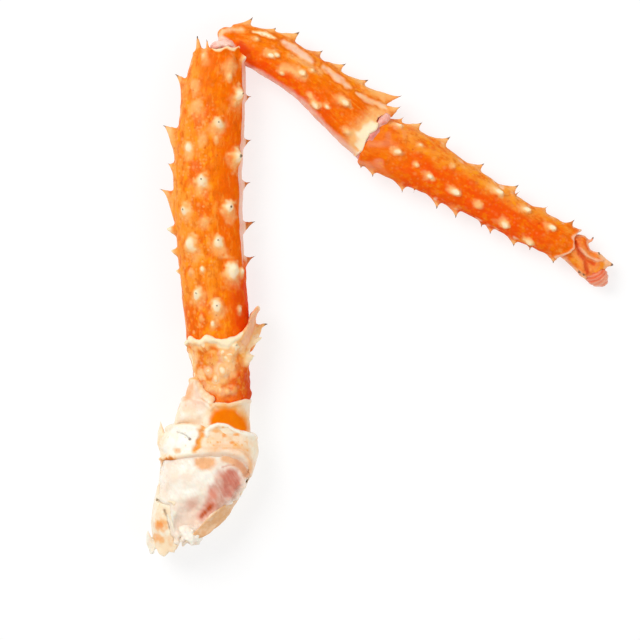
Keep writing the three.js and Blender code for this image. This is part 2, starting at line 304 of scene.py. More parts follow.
def scatter(cells):
    """A number for each cell of a grid, which looks random and is always the same."""
    x, y, z = (cells * np.array(CELL_FACTORS)).T
    mixed = x ^ y ^ z
    return ((mixed ^ (mixed >> 13)) * SCATTER_FACTOR) & 0xFFFFFFFF


def lumps(points, size, seed):
    """Smooth noise from -1 to 1 at each point, with lumps about size mm across."""
    place = points / size + LUMPS_APART * seed
    cell = np.floor(place).astype(np.int64)
    f = place - cell
    f = f * f * (3 - 2 * f)
    total = np.zeros(len(points))
    for corner in product((0, 1), repeat=3):
        value = ((scatter(cell + np.array(corner)) >> 8) & 0xFFFF) / 32767.5 - 1
        total += value * np.prod(np.where(corner, f, 1 - f), axis=1)
    return total


def pebbles(points, size, seed):
    """Distance from each point to the nearest of many scattered spots, in parts of size."""
    place = points / size + PEBBLES_APART * seed
    cell = np.floor(place).astype(np.int64)
    nearest = np.full(len(points), FAR_AWAY)
    for corner in product((-1, 0, 1), repeat=3):
        key = cell + np.array(corner)
        mixed = scatter(key)
        spot = key + np.stack([((mixed >> shift) & 0x3FF) / 1023 for shift in (2, 12, 20)], 1)
        nearest = np.minimum(nearest, np.linalg.norm(place - spot, axis=1))
    return nearest


def line_gap(x, y, line):
    """How far each point lies from a line of points in the plane."""
    nearest = np.full(np.shape(x), FAR_AWAY)
    for (x0, y0), (x1, y1) in zip(line, line[1:]):
        share = ((x - x0) * (x1 - x0) + (y - y0) * (y1 - y0)) / ((x1 - x0) ** 2 + (y1 - y0) ** 2)
        share = np.clip(share, 0, 1)
        nearest = np.minimum(nearest, np.hypot(x - x0 - share * (x1 - x0), y - y0 - share * (y1 - y0)))
    return nearest


def outline_gap(x, y, outline):
    """How far each point lies outside a closed outline in the plane; negative inside."""
    closed = outline + outline[:1]
    inside = np.zeros(np.shape(x), bool)
    for (x0, y0), (x1, y1) in zip(closed, closed[1:]):
        if y0 != y1:
            crosses = (y0 > y) != (y1 > y)
            inside ^= crosses & (x < x0 + (y - y0) * (x1 - x0) / (y1 - y0))
    gap = line_gap(x, y, closed)
    return np.where(inside, -gap, gap)


def above_line(x, y, line):
    """How far each point lies past a line that runs across the leg, towards +Y."""
    xs, ys = np.array(line).T
    return y - np.interp(x, xs, ys)


# ---- Sculpting with fields, which are negative inside a piece and positive outside ----


def join(a, b, blend):
    """Both shapes, with a fillet of about blend mm where they meet."""
    share = np.clip(0.5 + 0.5 * (b - a) / blend, 0, 1)
    return b + (a - b) * share - blend * share * (1 - share)


def keep(a, b, blend):
    """What both shapes share."""
    return -join(-a, -b, blend)


def cut(a, b, blend):
    """The first shape without the second."""
    return keep(a, -b, blend)


def single(field):
    """A field with the shorter numbers that the grid of samples needs."""
    return np.asarray(field, np.float32)


class Block:
    """A box of evenly spaced sample points."""

    def __init__(self, low, high, step):
        self.low = np.array(low, float)
        self.step = step
        self.counts = np.ceil((np.array(high) - self.low) / step).astype(int) + 1
        x, y, z = np.ix_(*(self.low[k] + step * np.arange(self.counts[k]) for k in range(3)))
        self.x, self.y = np.broadcast_arrays(x, y)
        self.z = single(z)
        self.at = (self.x, self.y, self.z)

    def near(self, middle, reach):
        """The samples within reach of a point: their place in the block, and their coordinates."""
        low = np.clip(np.floor((middle - reach - self.low) / self.step).astype(int), 0, self.counts)
        high = np.clip(np.ceil((middle + reach - self.low) / self.step).astype(int), 0, self.counts)
        part = tuple(slice(a, b) for a, b in zip(low, high))
        return part, (self.x[part[:2]], self.y[part[:2]], self.z[:, :, part[2]])


class Limb:
    """A leg segment: a curve, with a half width and a half depth at each place along it."""

    def __init__(self, name):
        numbers = SEGMENTS[name]
        t = np.linspace(0, 1, PLACES)
        self.name = name
        self.points = spline(numbers["axis"], t, True)
        self.width = spline(numbers["half_width"], t, False)
        self.depth = spline(numbers["half_depth"], t, False)
        self.run = np.append(0, np.cumsum(np.hypot(*np.diff(self.points[:, :2], axis=0).T)))
        self.length = self.run[-1]
        ahead = np.gradient(self.points, axis=0)
        self.ahead = ahead / np.linalg.norm(ahead, axis=1)[:, None]
        self.spines = list(spines_of(self))

    def block(self, step, spare):
        """Samples round the limb, step apart and to spare mm beyond it."""
        reach = self.width.max() + spare
        low = [*(self.points[:, :2].min(0) - reach), -3 * step]
        high = [*(self.points[:, :2].max(0) + reach), (self.points[:, 2] + self.depth).max() + spare]
        return Block(low, high, step)

    def plan(self, x, y):
        """How far along the leg each point is, and how far to the inner side of its axis."""
        x, y = np.broadcast_arrays(x, y)
        flat = np.stack([x.ravel(), y.ravel()], 1)
        run, aside = np.empty(len(flat)), np.empty(len(flat))
        for first in range(0, len(flat), AT_ONCE):
            part = slice(first, first + AT_ONCE)
            gap = flat[part, None, :] - self.points[None, :, :2]
            near = (gap**2).sum(2).argmin(1)
            off = flat[part] - self.points[near, :2]
            ahead = self.ahead[near, :2] / np.linalg.norm(self.ahead[near, :2], axis=1)[:, None]
            run[part] = self.run[near] + (off * ahead).sum(1)
            aside[part] = off[:, 0] * ahead[:, 1] - off[:, 1] * ahead[:, 0]
        return run.reshape(x.shape), aside.reshape(x.shape)

    def body(self, run, aside, z, grow=0.0):
        """The field of the bare segment, which goes on past both its ends."""
        width = np.interp(run, self.run, self.width) + grow
        depth = np.interp(run, self.run, self.depth) + grow
        u = np.abs(aside / width)
        w = np.abs((z - np.interp(run, self.run, self.points[:, 2])) / depth)
        p = SECTION_POWER
        rho = np.maximum((u**p + w**p) ** (1 / p), LEAST_RHO)
        steep = np.hypot((u / rho) ** (p - 1) / width, (w / rho) ** (p - 1) / depth)
        return single((rho - 1) / np.maximum(steep, LEAST_STEEP))

    def past(self, run, aside, line):
        """How far each place lies past a line that crosses the limb, towards its far end."""
        line_run, line_aside = self.plan(*np.array(line, float).T)
        order = np.argsort(line_aside)
        return single(run - np.interp(aside, line_aside[order], line_run[order]))

    def angle(self, run, aside, z):
        """The angle around the section in degrees, from -180 to 180."""
        width = np.interp(run, self.run, self.width)
        depth = np.interp(run, self.run, self.depth)
        rise = z - np.interp(run, self.run, self.points[:, 2])
        return np.degrees(np.arctan2(rise / depth, aside / width))

    def skin_point(self, t, degrees):
        """A point of the skin, with the directions out of it, forwards and across."""
        i = int(round(min(max(t, 0), 1) * (PLACES - 1)))
        ahead = self.ahead[i]
        side = np.array([ahead[1], -ahead[0], 0]) / np.hypot(ahead[0], ahead[1])
        up = np.cross(side, ahead)
        c, s = math.cos(math.radians(degrees)), math.sin(math.radians(degrees))
        p = SECTION_POWER
        reach = (abs(c) ** p + abs(s) ** p) ** (-1 / p)
        point = self.points[i] + side * self.width[i] * reach * c + up * self.depth[i] * reach * s
        out = side * math.copysign(abs(c) ** (p - 1), c) / self.width[i]
        out = out + up * math.copysign(abs(s) ** (p - 1), s) / self.depth[i]
        out = out / np.linalg.norm(out)
        across = np.cross(ahead, out)
        across = across / np.linalg.norm(across)
        return point, out, np.cross(out, across), across


def foot_of(limb, t, degrees, height, lean):
    """Where a spine's foot stands, and how long it has to be, for its tip to be at t and height."""
    sideways = abs(math.cos(math.radians(degrees))) > 0.85
    length = height
    for _ in range(2):
        places = np.linspace(t - 2 * lean / limb.length, t, 61)
        frames = [limb.skin_point(place, degrees) for place in places]
        tips = np.array([point + out * length + level * lean for point, out, level, _ in frames])
        runs, asides = limb.plan(tips[:, 0], tips[:, 1])
        best = np.abs(runs - t * limb.length).argmin()
        if sideways:
            length += height - (abs(asides[best]) - np.interp(runs[best], limb.run, limb.width))
    return *frames[best], length


def spines_of(limb):
    """Each spine of a limb, with its sizes, place and directions, all a little uneven."""
    chance = np.random.default_rng(len(limb.name) * 7 + ord(limb.name[0]))
    for kind, places in SPINES.get(limb.name, {}).items():
        for t, degrees, height in places:
            spine = SimpleNamespace(kind=kind, **dict(zip(SPINE_TRAITS, SPINE_KINDS[kind])))
            spine.pointed = spine.taper > POINTED
            spine.lean = spine.lean * height * chance.uniform(0.9, 1.1)
            spread = height * chance.uniform(0.9, 1.1)
            spine.long *= spread
            spine.wide *= spread
            placed = foot_of(limb, t, degrees, height, spine.lean)
            spine.point, spine.out, spine.level, spine.across, spine.height = placed
            spine.cream *= chance.uniform(0.25 if kind == "wart" else 0.8, 1.0)
            spine.dark_tip = 0.9 if chance.uniform() < spine.dark else 0.0
            yield spine


def spine_place(spine, at):
    """Coordinates from a spine's foot: up along it, forwards and across."""
    off = [side - foot for side, foot in zip(at, spine.point)]
    return [sum(off[k] * way[k] for k in range(3)) for way in (spine.out, spine.level, spine.across)]


def spine_section(spine, at):
    """The same from its leaning middle line, with its half length and half width at that height."""
    up, on, across = spine_place(spine, at)
    thin = (1 - np.clip(up / spine.height, 0, 0.999)) ** spine.taper
    on = on - spine.lean * (1 - thin)
    return up, on, across, spine.long * thin + SMALLEST_RADIUS, spine.wide * thin + SMALLEST_RADIUS


def spine_field(spine, at):
    up, on, across, half_long, half_wide = spine_section(spine, at)
    rho = np.maximum(np.hypot(on / half_long, across / half_wide), LEAST_RHO)
    steep = np.hypot(on / half_long**2, across / half_wide**2) / rho
    side = (rho - 1) / np.maximum(steep, LEAST_STEEP)
    over = up - spine.height
    tip = np.where(over > 0, np.hypot(np.maximum(side, 0), over), side)
    return single(np.maximum(tip, -up - spine.wide))


def add_spines(block, field, limb):
    for spine in limb.spines:
        part, at = block.near(spine.point, spine.height + spine.long + 2)
        fillet = SHARP_FILLET if spine.pointed else FILLET
        field[part] = join(field[part], spine_field(spine, at), fillet)


def sharpen(points, limb):
    """Draws each pointed spine out to its tip, which is finer than the sample points."""
    root = SHARPEN_FROM
    for spine in limb.spines:
        if not spine.pointed:
            continue
        close = np.flatnonzero(np.abs(points - spine.point).max(1) < spine.height + spine.lean + 2)
        up, on, across, long, wide = spine_section(spine, points[close].T)
        mine = (up > root * spine.height) & (np.hypot(on / (long + 0.5), across / (wide + 0.5)) < 1.3)
        if mine.sum() < 4:
            continue
        share = up[mine] / spine.height
        share = root + (share - root) * (1 - root) / (share.max() - root)
        new_thin = (1 - np.clip(share, 0, 1)) ** spine.taper
        shrink = (spine.wide * new_thin + FINEST_RADIUS) / wide[mine]
        moves = (
            (share * spine.height, spine.out),
            (on[mine] * shrink + spine.lean * (1 - new_thin), spine.level),
            (across[mine] * shrink, spine.across),
        )
        points[close[mine]] = sum((np.outer(far, way) for far, way in moves), spine.point)


def egg(at, middle, radii, turn=0.0):
    """The field of an ellipsoid, turned about Z by some degrees."""
    c, s = math.cos(math.radians(turn)), math.sin(math.radians(turn))
    dx, dy, dz = (side - centre for side, centre in zip(at, middle))
    u, v, w = (c * dx + s * dy) / radii[0], (c * dy - s * dx) / radii[1], dz / radii[2]
    rho = np.maximum(np.sqrt(u * u + v * v + w * w), LEAST_RHO)
    steep = np.sqrt((u / radii[0]) ** 2 + (v / radii[1]) ** 2 + (w / radii[2]) ** 2) / rho
    return single((rho - 1) / np.maximum(steep, LEAST_STEEP))


def rope(at, line, radius):
    """The field of a round cord through points in space; radius is one number, or one per point."""
    radii = np.broadcast_to(np.asarray(radius, float), (len(line),))
    best = np.float32(FAR_AWAY)
    for a, b, ra, rb in zip(line, line[1:], radii, radii[1:]):
        a, b = np.array(a, float), np.array(b, float)
        way = b - a
        share = sum((at[k] - a[k]) * way[k] for k in range(3)) / (way @ way)
        share = np.clip(share, 0, 1)
        gap = np.sqrt(sum((at[k] - a[k] - share * way[k]) ** 2 for k in range(3)))
        best = np.minimum(best, gap - ra - (rb - ra) * share)
    return single(best)


def add_ropes(block, field, ropes, blend):
    """Joins cords to a field, each given as its points and its radii."""
    for line, radii in ropes:
        field = join(field, rope(block.at, line, radii), blend)
    return field


def pillow(gap, rise, thick):
    """A flat piece with round edges, from its outline's gap and the height over its middle plane."""
    return single(np.hypot(np.maximum(gap + thick, 0), rise) - thick)


def round_lip(field, body, end, radius):
    """Adds a rounded lip along the edge where a body is cut off."""
    return join(field, np.hypot(body + LIP_INSET, end + radius * 0.8) - radius, 0.6)


def lay_out(name, step, spare=7.0):
    """A limb, samples round it, how far along and beside it each one is, and its bare body."""
    limb = Limb(name)
    block = limb.block(step, spare)
    run, aside = limb.plan(block.x, block.y)
    return limb, block, run, aside, limb.body(run, aside, block.z)


def from_start(field, run, blend):
    """What lies past the near end of a limb."""
    return keep(field, single(-run), blend)


# ---- From fields to Blender objects ----


def biggest_part(points, quads):
    """Leaves out the specks that no face joins to the biggest part of a surface."""
    label = np.arange(len(points))
    while True:
        low = label[quads].min(1)
        joined = label.copy()
        for k in range(4):
            np.minimum.at(joined, quads[:, k], low)
        joined = joined[joined]
        if (joined == label).all():
            break
        label = joined
    kept = label == np.bincount(label).argmax()
    new_place = np.cumsum(kept) - 1
    return points[kept], new_place[quads[kept[quads[:, 0]]]]


def surface_of(block, field):
    """The field's surface as points in mm and faces of four corners that face outwards."""
    grid = vdb.FloatGrid(FAR_OUTSIDE)
    grid.copyFromArray(np.ascontiguousarray(field, dtype=np.float32))
    grid.transform = vdb.createLinearTransform(voxelSize=block.step)
    points, quads = grid.convertToQuads(0.0)
    points = points.astype(float) + block.low
    quads = quads.astype(np.int64)
    a, b, c, d = (points[quads[:, k]] for k in range(4))
    if np.einsum("ij,ij->", a, np.cross(b, c) + np.cross(c, d)) < 0:
        quads = quads[:, ::-1]
    return biggest_part(points, quads)


def normals_of(points, quads):
    a, b, c, d = (points[quads[:, k]] for k in range(4))
    face = np.cross(c - a, d - b)
    total = np.zeros_like(points)
    for k in range(4):
        for axis in range(3):
            total[:, axis] += np.bincount(quads[:, k], face[:, axis], len(points))
    return total / np.maximum(np.linalg.norm(total, axis=1), 1e-9)[:, None]


class Skin:
    """A piece's surface: its points in mm, its faces, and the masks that its material reads."""

    def __init__(self, block, field, limb=None):
        self.points, self.quads = surface_of(block, np.maximum(field, -block.z))
        self.limb = limb

    def noise(self, size, seed):
        return lumps(self.points, size, seed)

    def push(self, shift):
        """Moves each point outwards by so many mm, but not into the ground."""
        self.points = self.points + normals_of(self.points, self.quads) * np.asarray(shift)[:, None]
        self.points[:, 2] = np.maximum(self.points[:, 2], 0)

    def roughen(self, amounts, seed):
        """Moves points in and out by smooth noise, given as pairs of lump size and height in mm."""
        self.push(sum(self.noise(size, seed + k) * height for k, (size, height) in enumerate(amounts)))

    def settle(self, names):
        """Works out where each point lies, once it stays put, and starts the masks at 0."""
        self.masks = {name: np.zeros(len(self.points)) for name in names}
        if self.limb:
            sharpen(self.points, self.limb)
            self.run, self.aside = self.limb.plan(self.points[:, 0], self.points[:, 1])
            self.angle = self.limb.angle(self.run, self.aside, self.points[:, 2])
            self.t = self.run / self.limb.length
        self.x, self.y, self.z = self.points.T

    def lay_along(self, rise):
        """Sets the places that materials read when their pattern follows the leg."""
        self.masks["leg"] = np.stack([self.aside, self.run, rise], 1)

    def tint(self, part=slice(None), **layers):
        """Raises each named mask to the given values, where those are higher, at some or all points."""
        for name, values in layers.items():
            mask = self.masks[name]
            mask[part] = np.maximum(mask[part], values)

    def near(self, line, start, end, wobble=0.0):
        """Eases from start to end by the distance in mm from a line, which the wobble makes uneven."""
        return ease(line_gap(self.x, self.y, line) + wobble, start, end)

    def within(self, outline, start, end, wobble=0.0):
        """The same by the distance outside an outline."""
        return ease(outline_gap(self.x, self.y, outline) + wobble, start, end)

    def spot(self, middle, radii, start, end, wobble=0.0):
        """The same by the distance from the middle of an oval, in parts of its two radii."""
        off = [(at - centre) / radius for at, centre, radius in zip((self.x, self.y), middle, radii)]
        return ease(np.hypot(*off) + wobble, start, end)

    def past(self, line, start, end, wobble=0.0):
        """The same by the distance along the limb past a line that crosses it."""
        return ease(self.limb.past(self.run, self.aside, line) + wobble, start, end)

    def make(self, name, node, slot, material=None):
        """Makes the Blender object, which replaces a CAD node, in the slot's material or a named one."""
        mesh = bpy.data.meshes.new(name)
        mesh.vertices.add(len(self.points))
        places = (self.points - OUTLINE_MIDDLE) * METRES
        mesh.vertices.foreach_set("co", places.astype(np.float32).ravel())
        mesh.loops.add(self.quads.size)
        mesh.loops.foreach_set("vertex_index", self.quads.ravel().astype(np.int32))
        mesh.polygons.add(len(self.quads))
        mesh.polygons.foreach_set("loop_start", np.arange(0, self.quads.size, 4, dtype=np.int32))
        mesh.update(calc_edges=True)
        mesh.validate()
        mesh.polygons.foreach_set("use_smooth", np.ones(len(mesh.polygons), bool))
        for key, values in self.masks.items():
            kind, field = ("FLOAT_VECTOR", "vector") if values.ndim == 2 else ("FLOAT", "value")
            attribute = mesh.attributes.new(key, kind, "POINT")
            attribute.data.foreach_set(field, values.astype(np.float32).ravel())
        mesh.materials.append(materials[material or slot])
        piece = add_to_scene(name, mesh)
        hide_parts(node)
        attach(piece, "root")


# ---- Materials ----


def shade(red, green, blue):
    """A colour given from 0 to 255, as Blender's linear numbers."""
    parts = [v / 255 for v in (red, green, blue)]
    return (*(p / 12.92 if p <= 0.04045 else ((p + 0.055) / 1.055) ** 2.4 for p in parts), 1)


class Paint:
    """A material's nodes. Each method that adds a node gives back its output."""

    def __init__(self, name):
        self.material = bpy.data.materials.new(name)
        self.material.use_nodes = True
        self.nodes = self.material.node_tree.nodes
        self.links = self.material.node_tree.links
        self.shader = self.nodes["Principled BSDF"]
        millimetres = (1000, 1000, 1000)
        self.where = self.scale(self.add("ShaderNodeTexCoord").outputs["Object"], millimetres)

    def add(self, kind, **settings):
        node = self.nodes.new(kind)
        for key, value in settings.items():
            setattr(node, key, value)
        return node

    def put(self, value, socket):
        if isinstance(value, bpy.types.NodeSocket):
            self.links.new(value, socket)
        else:
            socket.default_value = value

    def scale(self, vector, factors):
        node = self.add("ShaderNodeVectorMath", operation="MULTIPLY")
        self.put(vector, node.inputs[0])
        node.inputs[1].default_value = factors
        return node.outputs[0]

    def mask(self, name):
        return self.add("ShaderNodeAttribute", attribute_name=name).outputs["Fac"]

    def along_leg(self, stretch):
        """Places on the leg, scaled by stretch along it."""
        places = self.add("ShaderNodeAttribute", attribute_name="leg").outputs["Vector"]
        return self.scale(places, (1, stretch, 1))

    def noise(self, size, detail, rough, where=None):
        node = self.add("ShaderNodeTexNoise")
        self.put(where or self.where, node.inputs["Vector"])
        for key, value in (("Scale", 1 / size), ("Detail", detail), ("Roughness", rough)):
            node.inputs[key].default_value = value
        return node.outputs["Fac"]

    def cells(self, size):
        """Distance from the nearest of many scattered spots, in parts of size, and its own number."""
        node = self.add("ShaderNodeTexVoronoi")
        self.put(self.where, node.inputs["Vector"])
        node.inputs["Scale"].default_value = 1 / size
        return node.outputs["Distance"], node.outputs["Color"]

    def span(self, value, low, high, to_low=0.0, to_high=1.0):
        node = self.add("ShaderNodeMapRange", interpolation_type="SMOOTHSTEP")
        for key, number in zip(("Value", "From Min", "From Max", "To Min", "To Max"),
                               (value, low, high, to_low, to_high)):
            self.put(number, node.inputs[key])
        return node.outputs["Result"]

    def math(self, kind, a, b):
        node = self.add("ShaderNodeMath", operation=kind)
        self.put(a, node.inputs[0])
        self.put(b, node.inputs[1])
        return node.outputs[0]

    def times(self, a, b):
        return self.math("MULTIPLY", a, b)

    def higher(self, a, b):
        return self.math("MAXIMUM", a, b)

    def mix(self, share, a, b):
        """From a to b by a share; each colour is a node's output or three numbers from 0 to 255."""
        node = self.add("ShaderNodeMix", data_type="RGBA")
        for value, socket in ((share, 0), (a, 6), (b, 7)):
            self.put(shade(*value) if isinstance(value, tuple) else value, node.inputs[socket])
        return node.outputs[2]

    def base(self, share, a, b):
        self.color = self.mix(share, a, b)

    def over(self, share, color, factor=None):
        """Lays a colour over those so far, by a mask's name or a node's output, times a factor."""
        share = self.mask(share) if isinstance(share, str) else share
        share = share if factor is None else self.times(share, factor)
        self.color = self.mix(share, self.color, color)

    def bump(self, height, distance, strength, below=None):
        node = self.add("ShaderNodeBump")
        node.inputs["Strength"].default_value = strength
        node.inputs["Distance"].default_value = distance * METRES
        self.put(height, node.inputs["Height"])
        if below is not None:
            self.put(below, node.inputs["Normal"])
        return node.outputs["Normal"]

    def finish(self, **values):
        """Sets the shader's sockets, and gives back the material."""
        for key, value in values.items():
            self.put(value, self.shader.inputs[key.replace("_", " ")])
        self.put(self.color, self.shader.inputs["Base Color"])
        return self.material


BURNT = (222, 100, 4)
PEACH = (254, 190, 120)
RED = (206, 52, 6)
CREAM = (255, 236, 198)
PINK_SKIN = (252, 208, 188)
# the pale pink of painted highlights
PINK_PAINTED_HIGHLIGHT = (255, 216, 180)
DARK_TIP = (98, 72, 52)


def orange_shell(name, deep, middle, golden, light, pale, red, fibres, coat):
    """Mottled shell with paler dots and cream knobs, given from its deepest to its palest colour."""
    paint = Paint(name)
    span, times = paint.span, paint.times
    broad = paint.noise(9, 2, 0.5, paint.along_leg(0.5))
    patch = paint.noise(3.2, 4, 0.6, paint.along_leg(0.6))
    streak = paint.noise(1.1, 3, 0.6, paint.along_leg(0.22))
    tone = paint.noise(1.9, 3, 0.55, paint.along_leg(0.7))
    fine = paint.noise(0.7, 3, 0.6)
    spot_gap, spot_own = paint.cells(2.5)
    grain_gap, grain_own = paint.cells(1.2)
    pit_gap, pit_own = paint.cells(3.1)
    uneven = span(patch, 0.3, 0.6, 0.5, 1.0)

    paint.base(span(broad, 0.4, 0.58), deep, middle)
    paint.over("light", light, uneven)
    paint.over(span(patch, 0.5, 0.66), light, 0.75)
    paint.over(span(patch, 0.47, 0.34), deep, 0.7)
    paint.over(span(tone, 0.53, 0.66), golden, 0.8)
    paint.over("rich", deep, uneven)
    paint.over(span(tone, 0.47, 0.34), BURNT, 0.6)
    paint.over(span(streak, 0.53, 0.68), light, 0.45 * fibres)
    paint.over(span(streak, 0.45, 0.3), BURNT, 0.45 * fibres)
    paint.over("edge", BURNT)
    paint.over("deep", red, uneven)
    paint.over("deep", middle, span(tone, 0.48, 0.66, 0.0, 0.6))
    paint.over("halo", pale, uneven)
    speck = times(span(spot_gap, 0.42, 0.05), span(spot_own, 0.35, 0.8, 0.0, 0.6))
    grain = times(span(grain_gap, 0.55, 0.1), span(grain_own, 0.4, 0.8, 0.0, 0.4))
    calm = paint.higher(times(paint.mask("deep"), 0.5), paint.mask("plain"))
    dots = times(paint.higher(speck, grain), span(calm, 0.0, 1.0, 1.0, 0.0))
    paint.over(dots, pale)
    paint.over("halo", PEACH, span(grain_gap, 0.5, 0.15, 0.0, 0.6))
    paint.over(span(pit_gap, 0.16, 0.06), RED, span(pit_own, 0.6, 0.7, 0.0, 0.5))
    # painted highlights, laid over the shell's colours in pale pink
    paint.over("gleam", PINK_PAINTED_HIGHLIGHT, span(patch, 0.3, 0.55, 0.7, 1.0))
    paint.over(span(paint.mask("cream"), 0.0, 0.55), PEACH)
    paint.over(span(paint.mask("cream"), 0.4, 1.0), CREAM)
    paint.over("strip", PINK_SKIN)
    paint.over("red", RED)
    paint.over("dark", DARK_TIP)

    relief = paint.math("ADD", times(dots, 0.6), times(fine, 0.35))
    quiet = paint.higher(paint.higher(paint.mask("red"), paint.mask("deep")), paint.mask("rich"))
    return paint.finish(
        Roughness=span(fine, 0.3, 0.7, 0.3, 0.46),
        Normal=paint.bump(patch, 0.6, 0.7, paint.bump(relief, 0.14, 0.8)),
        Specular_IOR_Level=span(quiet, 0.0, 0.9, 0.05, 0.01),
        Subsurface_Weight=0.1, Subsurface_Radius=(1.0, 0.4, 0.1), Subsurface_Scale=0.001,
        Coat_Weight=span(quiet, 0.0, 0.9, coat, 0.4 * coat), Coat_Roughness=0.16,
    )


def pale_shell():
    """Cream-white shell, stained orange, amber and tan in places."""
    paint = Paint("pale_shell")
    span = paint.span
    broad = paint.noise(6, 3, 0.55)
    fine = paint.noise(0.8, 4, 0.6)
    patch = paint.noise(2.4, 3, 0.6)
    spot_gap, spot_own = paint.cells(1.5)
    uneven = span(patch, 0.3, 0.6, 0.6, 1.0)
    paint.base(span(broad, 0.35, 0.65), (253, 240, 216), (253, 226, 190))
    paint.over(span(patch, 0.5, 0.75), (253, 208, 160), 0.5)
    paint.over("white", (255, 252, 240), uneven)
    paint.over("pink", (251, 196, 168), uneven)
    paint.over("tan", (232, 178, 126), uneven)
    speck = paint.times(span(spot_gap, 0.3, 0.1), span(spot_own, 0.4, 0.7, 0.0, 0.4))
    paint.over(speck, (250, 190, 120))
    paint.over("amber", (251, 172, 72), uneven)
    paint.over("orange", paint.mix(uneven, (242, 106, 0), (250, 128, 0)))
    paint.over("stain", (170, 84, 10))
    paint.over("dark", (120, 84, 60))
    relief = paint.math("ADD", fine, paint.times(speck, 0.6))
    shine = span(paint.mask("orange"), 0.0, 0.8, 0.2, 0.02)
    return paint.finish(
        Roughness=span(fine, 0.3, 0.7, 0.28, 0.5),
        Normal=paint.bump(patch, 0.4, 0.5, paint.bump(relief, 0.12, 0.6)),
        Subsurface_Weight=0.15, Subsurface_Radius=(1.0, 0.7, 0.5), Subsurface_Scale=0.0012,
        Coat_Weight=shine, Coat_Roughness=0.2, Specular_IOR_Level=shine,
    )


def meat():
    """Wet white meat in fine strands, stained pink, purple and brown in places."""
    paint = Paint("meat")
    span = paint.span
    strands = paint.noise(0.9, 4, 0.6, paint.along_leg(0.16))
    broad = paint.noise(5, 3, 0.5)
    fine = paint.noise(0.6, 3, 0.6)
    uneven = span(strands, 0.36, 0.6, 0.8, 1.0)
    paint.base(span(broad, 0.35, 0.65), (255, 246, 232), (252, 232, 212))
    paint.over(span(strands, 0.5, 0.7), (244, 212, 186), 0.3)
    paint.over("clear", (246, 216, 194))
    paint.over("tan", (246, 182, 126))
    paint.over("pink", (208, 128, 100), uneven)
    paint.over("purple", (208, 112, 90), uneven)
    paint.over("brown", (196, 82, 24), uneven)
    paint.over("coral", (240, 96, 44))
    # painted shade in the hollow of the meat
    paint.over("grey", (214, 184, 164))
    stained = paint.higher(paint.mask("purple"), paint.higher(paint.mask("pink"), paint.mask("brown")))
    shine = span(stained, 0.0, 0.7, 0.22, 0.04)
    return paint.finish(
        Roughness=span(fine, 0.3, 0.7, 0.2, 0.42),
        Normal=paint.bump(fine, 0.12, 0.5, paint.bump(strands, 0.35, 0.6)),
        Subsurface_Weight=0.3, Subsurface_Radius=(1.0, 0.7, 0.55), Subsurface_Scale=0.0015,
        Coat_Weight=shine, Coat_Roughness=0.18, Specular_IOR_Level=shine,
    )


def soft_skin():
    """Pinkish, half clear skin with fine wrinkles."""
    paint = Paint("soft_skin")
    wrinkles = paint.noise(1.0, 3, 0.6)
    paint.base(paint.span(paint.noise(3, 2, 0.5), 0.35, 0.65), (252, 196, 176), (252, 228, 214))
    paint.over("red", (226, 104, 96))
    return paint.finish(
        Roughness=paint.span(wrinkles, 0.3, 0.7, 0.2, 0.4), Normal=paint.bump(wrinkles, 0.3, 0.6),
        Subsurface_Weight=0.3, Subsurface_Radius=(1.0, 0.6, 0.45), Subsurface_Scale=0.0015,
        Coat_Weight=0.3, Coat_Roughness=0.2, Specular_IOR_Level=0.35,
    )


def all_materials():
    return {
        "bright_shell": orange_shell(
            "bright_shell", deep=(241, 102, 0), middle=(248, 132, 10), golden=(252, 152, 10),
            light=(251, 158, 56), pale=(253, 190, 118), red=(245, 76, 8), fibres=1.0, coat=0.05,
        ),
        "amber_shell": orange_shell(
            "amber_shell", deep=(236, 112, 0), middle=(248, 158, 56), golden=(246, 160, 34),
            light=(252, 184, 104), pale=(255, 218, 172), red=(234, 82, 0), fibres=0.15, coat=0.2,
        ),
        "pale_shell": pale_shell(),
        "meat": meat(),
        "soft_skin": soft_skin(),
    }


ORANGE_MASKS = ("light", "rich", "deep", "plain", "edge", "strip", "gleam", "red", "cream", "halo", "dark",
                "spiky")
MEAT_MASKS = ("clear", "tan", "pink", "purple", "brown", "coral", "grey")
PALE_MASKS = ("white", "pink", "tan", "amber", "orange", "stain", "dark")


# ---- Orange segments ----


